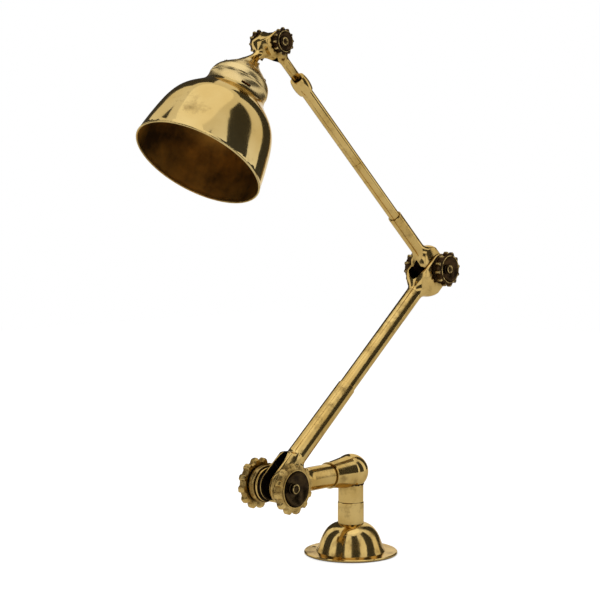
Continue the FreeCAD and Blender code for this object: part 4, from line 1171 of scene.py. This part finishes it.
    def add_thread(self, shop: FinishShop) -> None:
        """Makes the lampholder's threaded insert.

        The inner wall's radius is the thread radius plus ridge * (1 + cos(2 pi z / pitch - turn)) / 2,
        so that one ridge climbs a pitch per turn; the outer wall is plain.
        """
        start = self.thread_end - self.thread_depth
        height = np.linspace(start, self.thread_end, self.thread_rows)[:, None]
        turn = full_turn(self.thread_steps)
        wave = (1 + np.cos(2 * math.pi * height / self.pitch - turn)) / 2
        inner = self.thread_radius + self.ridge * wave
        outer = self.thread_radius + self.thread_wall + self.thread_room + 0 * turn
        radius = np.concatenate((inner, outer, outer))
        level = np.concatenate((height + 0 * turn, self.thread_end + 0 * turn, start + 0 * turn))
        grid = self.place().place(about_axis(radius, turn, level) * MM)
        piece = grid_object("threaded_insert", [grid], True, True)
        shop.dress(piece, Coat.RAW)
        stand_in(piece, "thread_insert")

    def build(self, shop: FinishShop) -> None:
        """Makes every piece of the shade's trim.

        Args:
            shop: source of the materials.
        """
        self.add_bell(shop)
        self.add_cap(shop)
        self.add_cap_screws(shop)
        self.add_thread(shop)
        LOG.info("shade: bell, cap, screws and thread")


# --- Studio ----------------------------------------------------------------------------------------


@dataclass(frozen=True)
class Card:
    """Curved card of the studio, which only mirror-like surfaces show.

    It is a patch of a sphere about the lamp: azimuths from +X toward +Y, elevations from the floor.
    """

    name: str
    azimuths_deg: tuple[float, float]
    elevations_deg: tuple[float, float]
    colour: Rgba
    distance_m: float = 4.0
    steps: int = 24

    def grid(self) -> np.ndarray:
        """Points at distance r, azimuth a and elevation e: (r cos e cos a, r cos e sin a, r sin e).

        Returns:
            Array of rows (elevation) by columns (azimuth) by three.
        """
        azimuth = np.radians(np.linspace(*self.azimuths_deg, self.steps))[None, :]
        height = np.radians(np.linspace(*self.elevations_deg, self.steps))[:, None]
        return about_axis(np.cos(height), azimuth, np.sin(height)) * self.distance_m

    def build(self) -> None:
        """Makes the card as a stage piece."""
        card = grid_object(self.name, [self.grid()], False, False)
        graph = NodeGraph(bpy.data.materials.new(self.name))
        glow = graph.add("Emission", {"Color": self.colour, "Strength": 1.0})
        card.data.materials.append(graph.finish(glow))
        card.visible_camera = card.visible_diffuse = card.visible_shadow = False
        card.visible_transmission = False


@dataclass(frozen=True)
class SoftLamp:
    """Rectangular soft lamp that faces the object's middle and isn't mirrored."""

    name: str
    place_m: tuple[float, float, float]
    size_m: tuple[float, float]
    power_w: float

    def build(self) -> None:
        """Adds the lamp."""
        data = bpy.data.lights.new(self.name, "AREA")
        data.shape = "RECTANGLE"
        data.size, data.size_y = self.size_m
        data.energy = self.power_w
        lamp = bpy.data.objects.new(self.name, data)
        lamp.location = self.place_m
        lamp.visible_glossy = False
        sight = (CAD_LOW + CAD_HIGH) / 2 - Vector(self.place_m)
        lamp.rotation_euler = sight.to_track_quat("-Z", "Y").to_euler()
        bpy.context.scene.collection.objects.link(lamp)


@dataclass(frozen=True)
class Studio:
    """Camera, soft lamps, white backdrop, even dark flags, softbox and floor."""

    image_px: float = 600.0
    focal_px: float = 1540.0
    sensor_mm: float = 36.0
    camera_mm: tuple[float, float, float] = (-1368.75, -1168.3, 405.4)
    yaw_deg: float = 42.39
    pitch_deg: float = -3.39
    world_strength: float = 0.55
    floor_half_m: float = 3.0
    floor_glow: float = 0.58
    floor_glint: float = 0.12
    floor_drop_m: float = 0.0005
    flag_count: int = 6
    flag_width_deg: float = 34.0
    flag_rise_deg: tuple[float, float] = (-4.0, 58.0)
    flag_tone: float = 0.06
    softbox_from_deg: float = 66.0
    softbox_strength: float = 1.3
    lamps: tuple[SoftLamp, ...] = (SoftLamp("key", (-1.6, 0.3, 1.9), (0.7, 0.9), 14.0),
                                   SoftLamp("fill", (0.9, -1.9, 0.9), (0.3, 1.2), 5.0))

    def aim_camera(self) -> None:
        """Places the camera where the photograph was taken from.

        Yaw is the angle of the line of sight from +X toward +Y, pitch the angle above the horizon.
        """
        data = bpy.data.cameras.new("camera")
        data.sensor_width = self.sensor_mm
        data.lens = self.focal_px / self.image_px * self.sensor_mm
        camera = bpy.data.objects.new("camera", data)
        yaw, pitch = math.radians(self.yaw_deg), math.radians(self.pitch_deg)
        sight = Vector((math.cos(pitch) * math.cos(yaw), math.cos(pitch) * math.sin(yaw), math.sin(pitch)))
        camera.location = Vector(self.camera_mm) * MM
        camera.rotation_euler = sight.to_track_quat("-Z", "Y").to_euler()
        bpy.context.scene.collection.objects.link(camera)
        bpy.context.scene.camera = camera

    def seen_share(self, graph: NodeGraph) -> bpy.types.NodeSocket:
        """1 for rays that see the background straight, in gloss or through glass, else 0."""
        path = graph.add("LightPath").outputs
        return graph.largest(graph.largest(path["Is Camera Ray"], path["Is Glossy Ray"]),
                             path["Is Transmission Ray"])

    def light_world(self) -> None:
        """White where it is seen or mirrored, and a soft grey light on the object."""
        world = bpy.data.worlds.new("studio")
        bpy.context.scene.world = world
        graph = NodeGraph(world, "OutputWorld")
        strength = graph.ramp(self.seen_share(graph), 0.0, 1.0, self.world_strength, 1.0)
        graph.finish(graph.add("Background", {"Color": WHITE, "Strength": strength}))

    def lay_floor(self) -> None:
        """Pale floor under the base that stays white where it is lit and keeps a soft shadow."""
        half = self.floor_half_m
        mesh = bpy.data.meshes.new("floor")
        mesh.from_pydata([(-half, -half, 0), (half, -half, 0), (half, half, 0), (-half, half, 0)], [],
                         [(0, 1, 2, 3)])
        floor = bpy.data.objects.new("floor", mesh)
        graph = NodeGraph(bpy.data.materials.new("floor"))
        diffuse = graph.add("BsdfDiffuse", {"Color": rgb(0.86, 0.86, 0.86)})
        path = graph.add("LightPath").outputs
        straight = graph.product(path["Is Camera Ray"], self.floor_glow)
        mirrored = graph.product(self.seen_share(graph), self.floor_glint)
        glow = graph.add("Emission", {"Color": WHITE, "Strength": graph.largest(straight, mirrored)})
        lit = graph.add("AddShader", {0: diffuse.outputs[0], 1: glow.outputs[0]})
        mesh.materials.append(graph.finish(lit))
        floor.location.z = -self.floor_drop_m
        bpy.context.scene.collection.objects.link(floor)

    def hang_cards(self) -> None:
        """Hangs equal dark flags at equal steps round the lamp, and one white softbox overhead."""
        tone = self.flag_tone
        for index in range(self.flag_count):
            middle = 360.0 * index / self.flag_count
            width = (middle - self.flag_width_deg / 2, middle + self.flag_width_deg / 2)
            Card(f"flag_{index}", width, self.flag_rise_deg, rgb(tone, tone, tone)).build()
        white = self.softbox_strength
        Card("softbox", (0.0, 360.0), (self.softbox_from_deg, 90.0), rgb(white, white, white)).build()

    def build(self) -> None:
        """Sets up the camera, the light, the flags, the softbox and the floor."""
        self.aim_camera()
        self.light_world()
        self.lay_floor()
        self.hang_cards()
        for lamp in self.lamps:
            lamp.build()
        bpy.context.scene.view_settings.view_transform = "Standard"


def main() -> None:
    """Dresses the lamp and sets up the studio, logging each step."""
    logging.basicConfig(level=logging.INFO, format="%(name)s: %(message)s")
    shop = FinishShop()
    dress_solids(shop)
    LOG.info("dressed %d solids", len(frame["nodes"]))
    for fork in FORKS:
        fork.build(shop)
    for hinge in HINGES:
        hinge.build(shop)
    SolderSeam().build(shop)
    ShadeTrim().build(shop)
    Studio().build()
    LOG.info("studio ready")


if __name__ == "__main__":
    main()
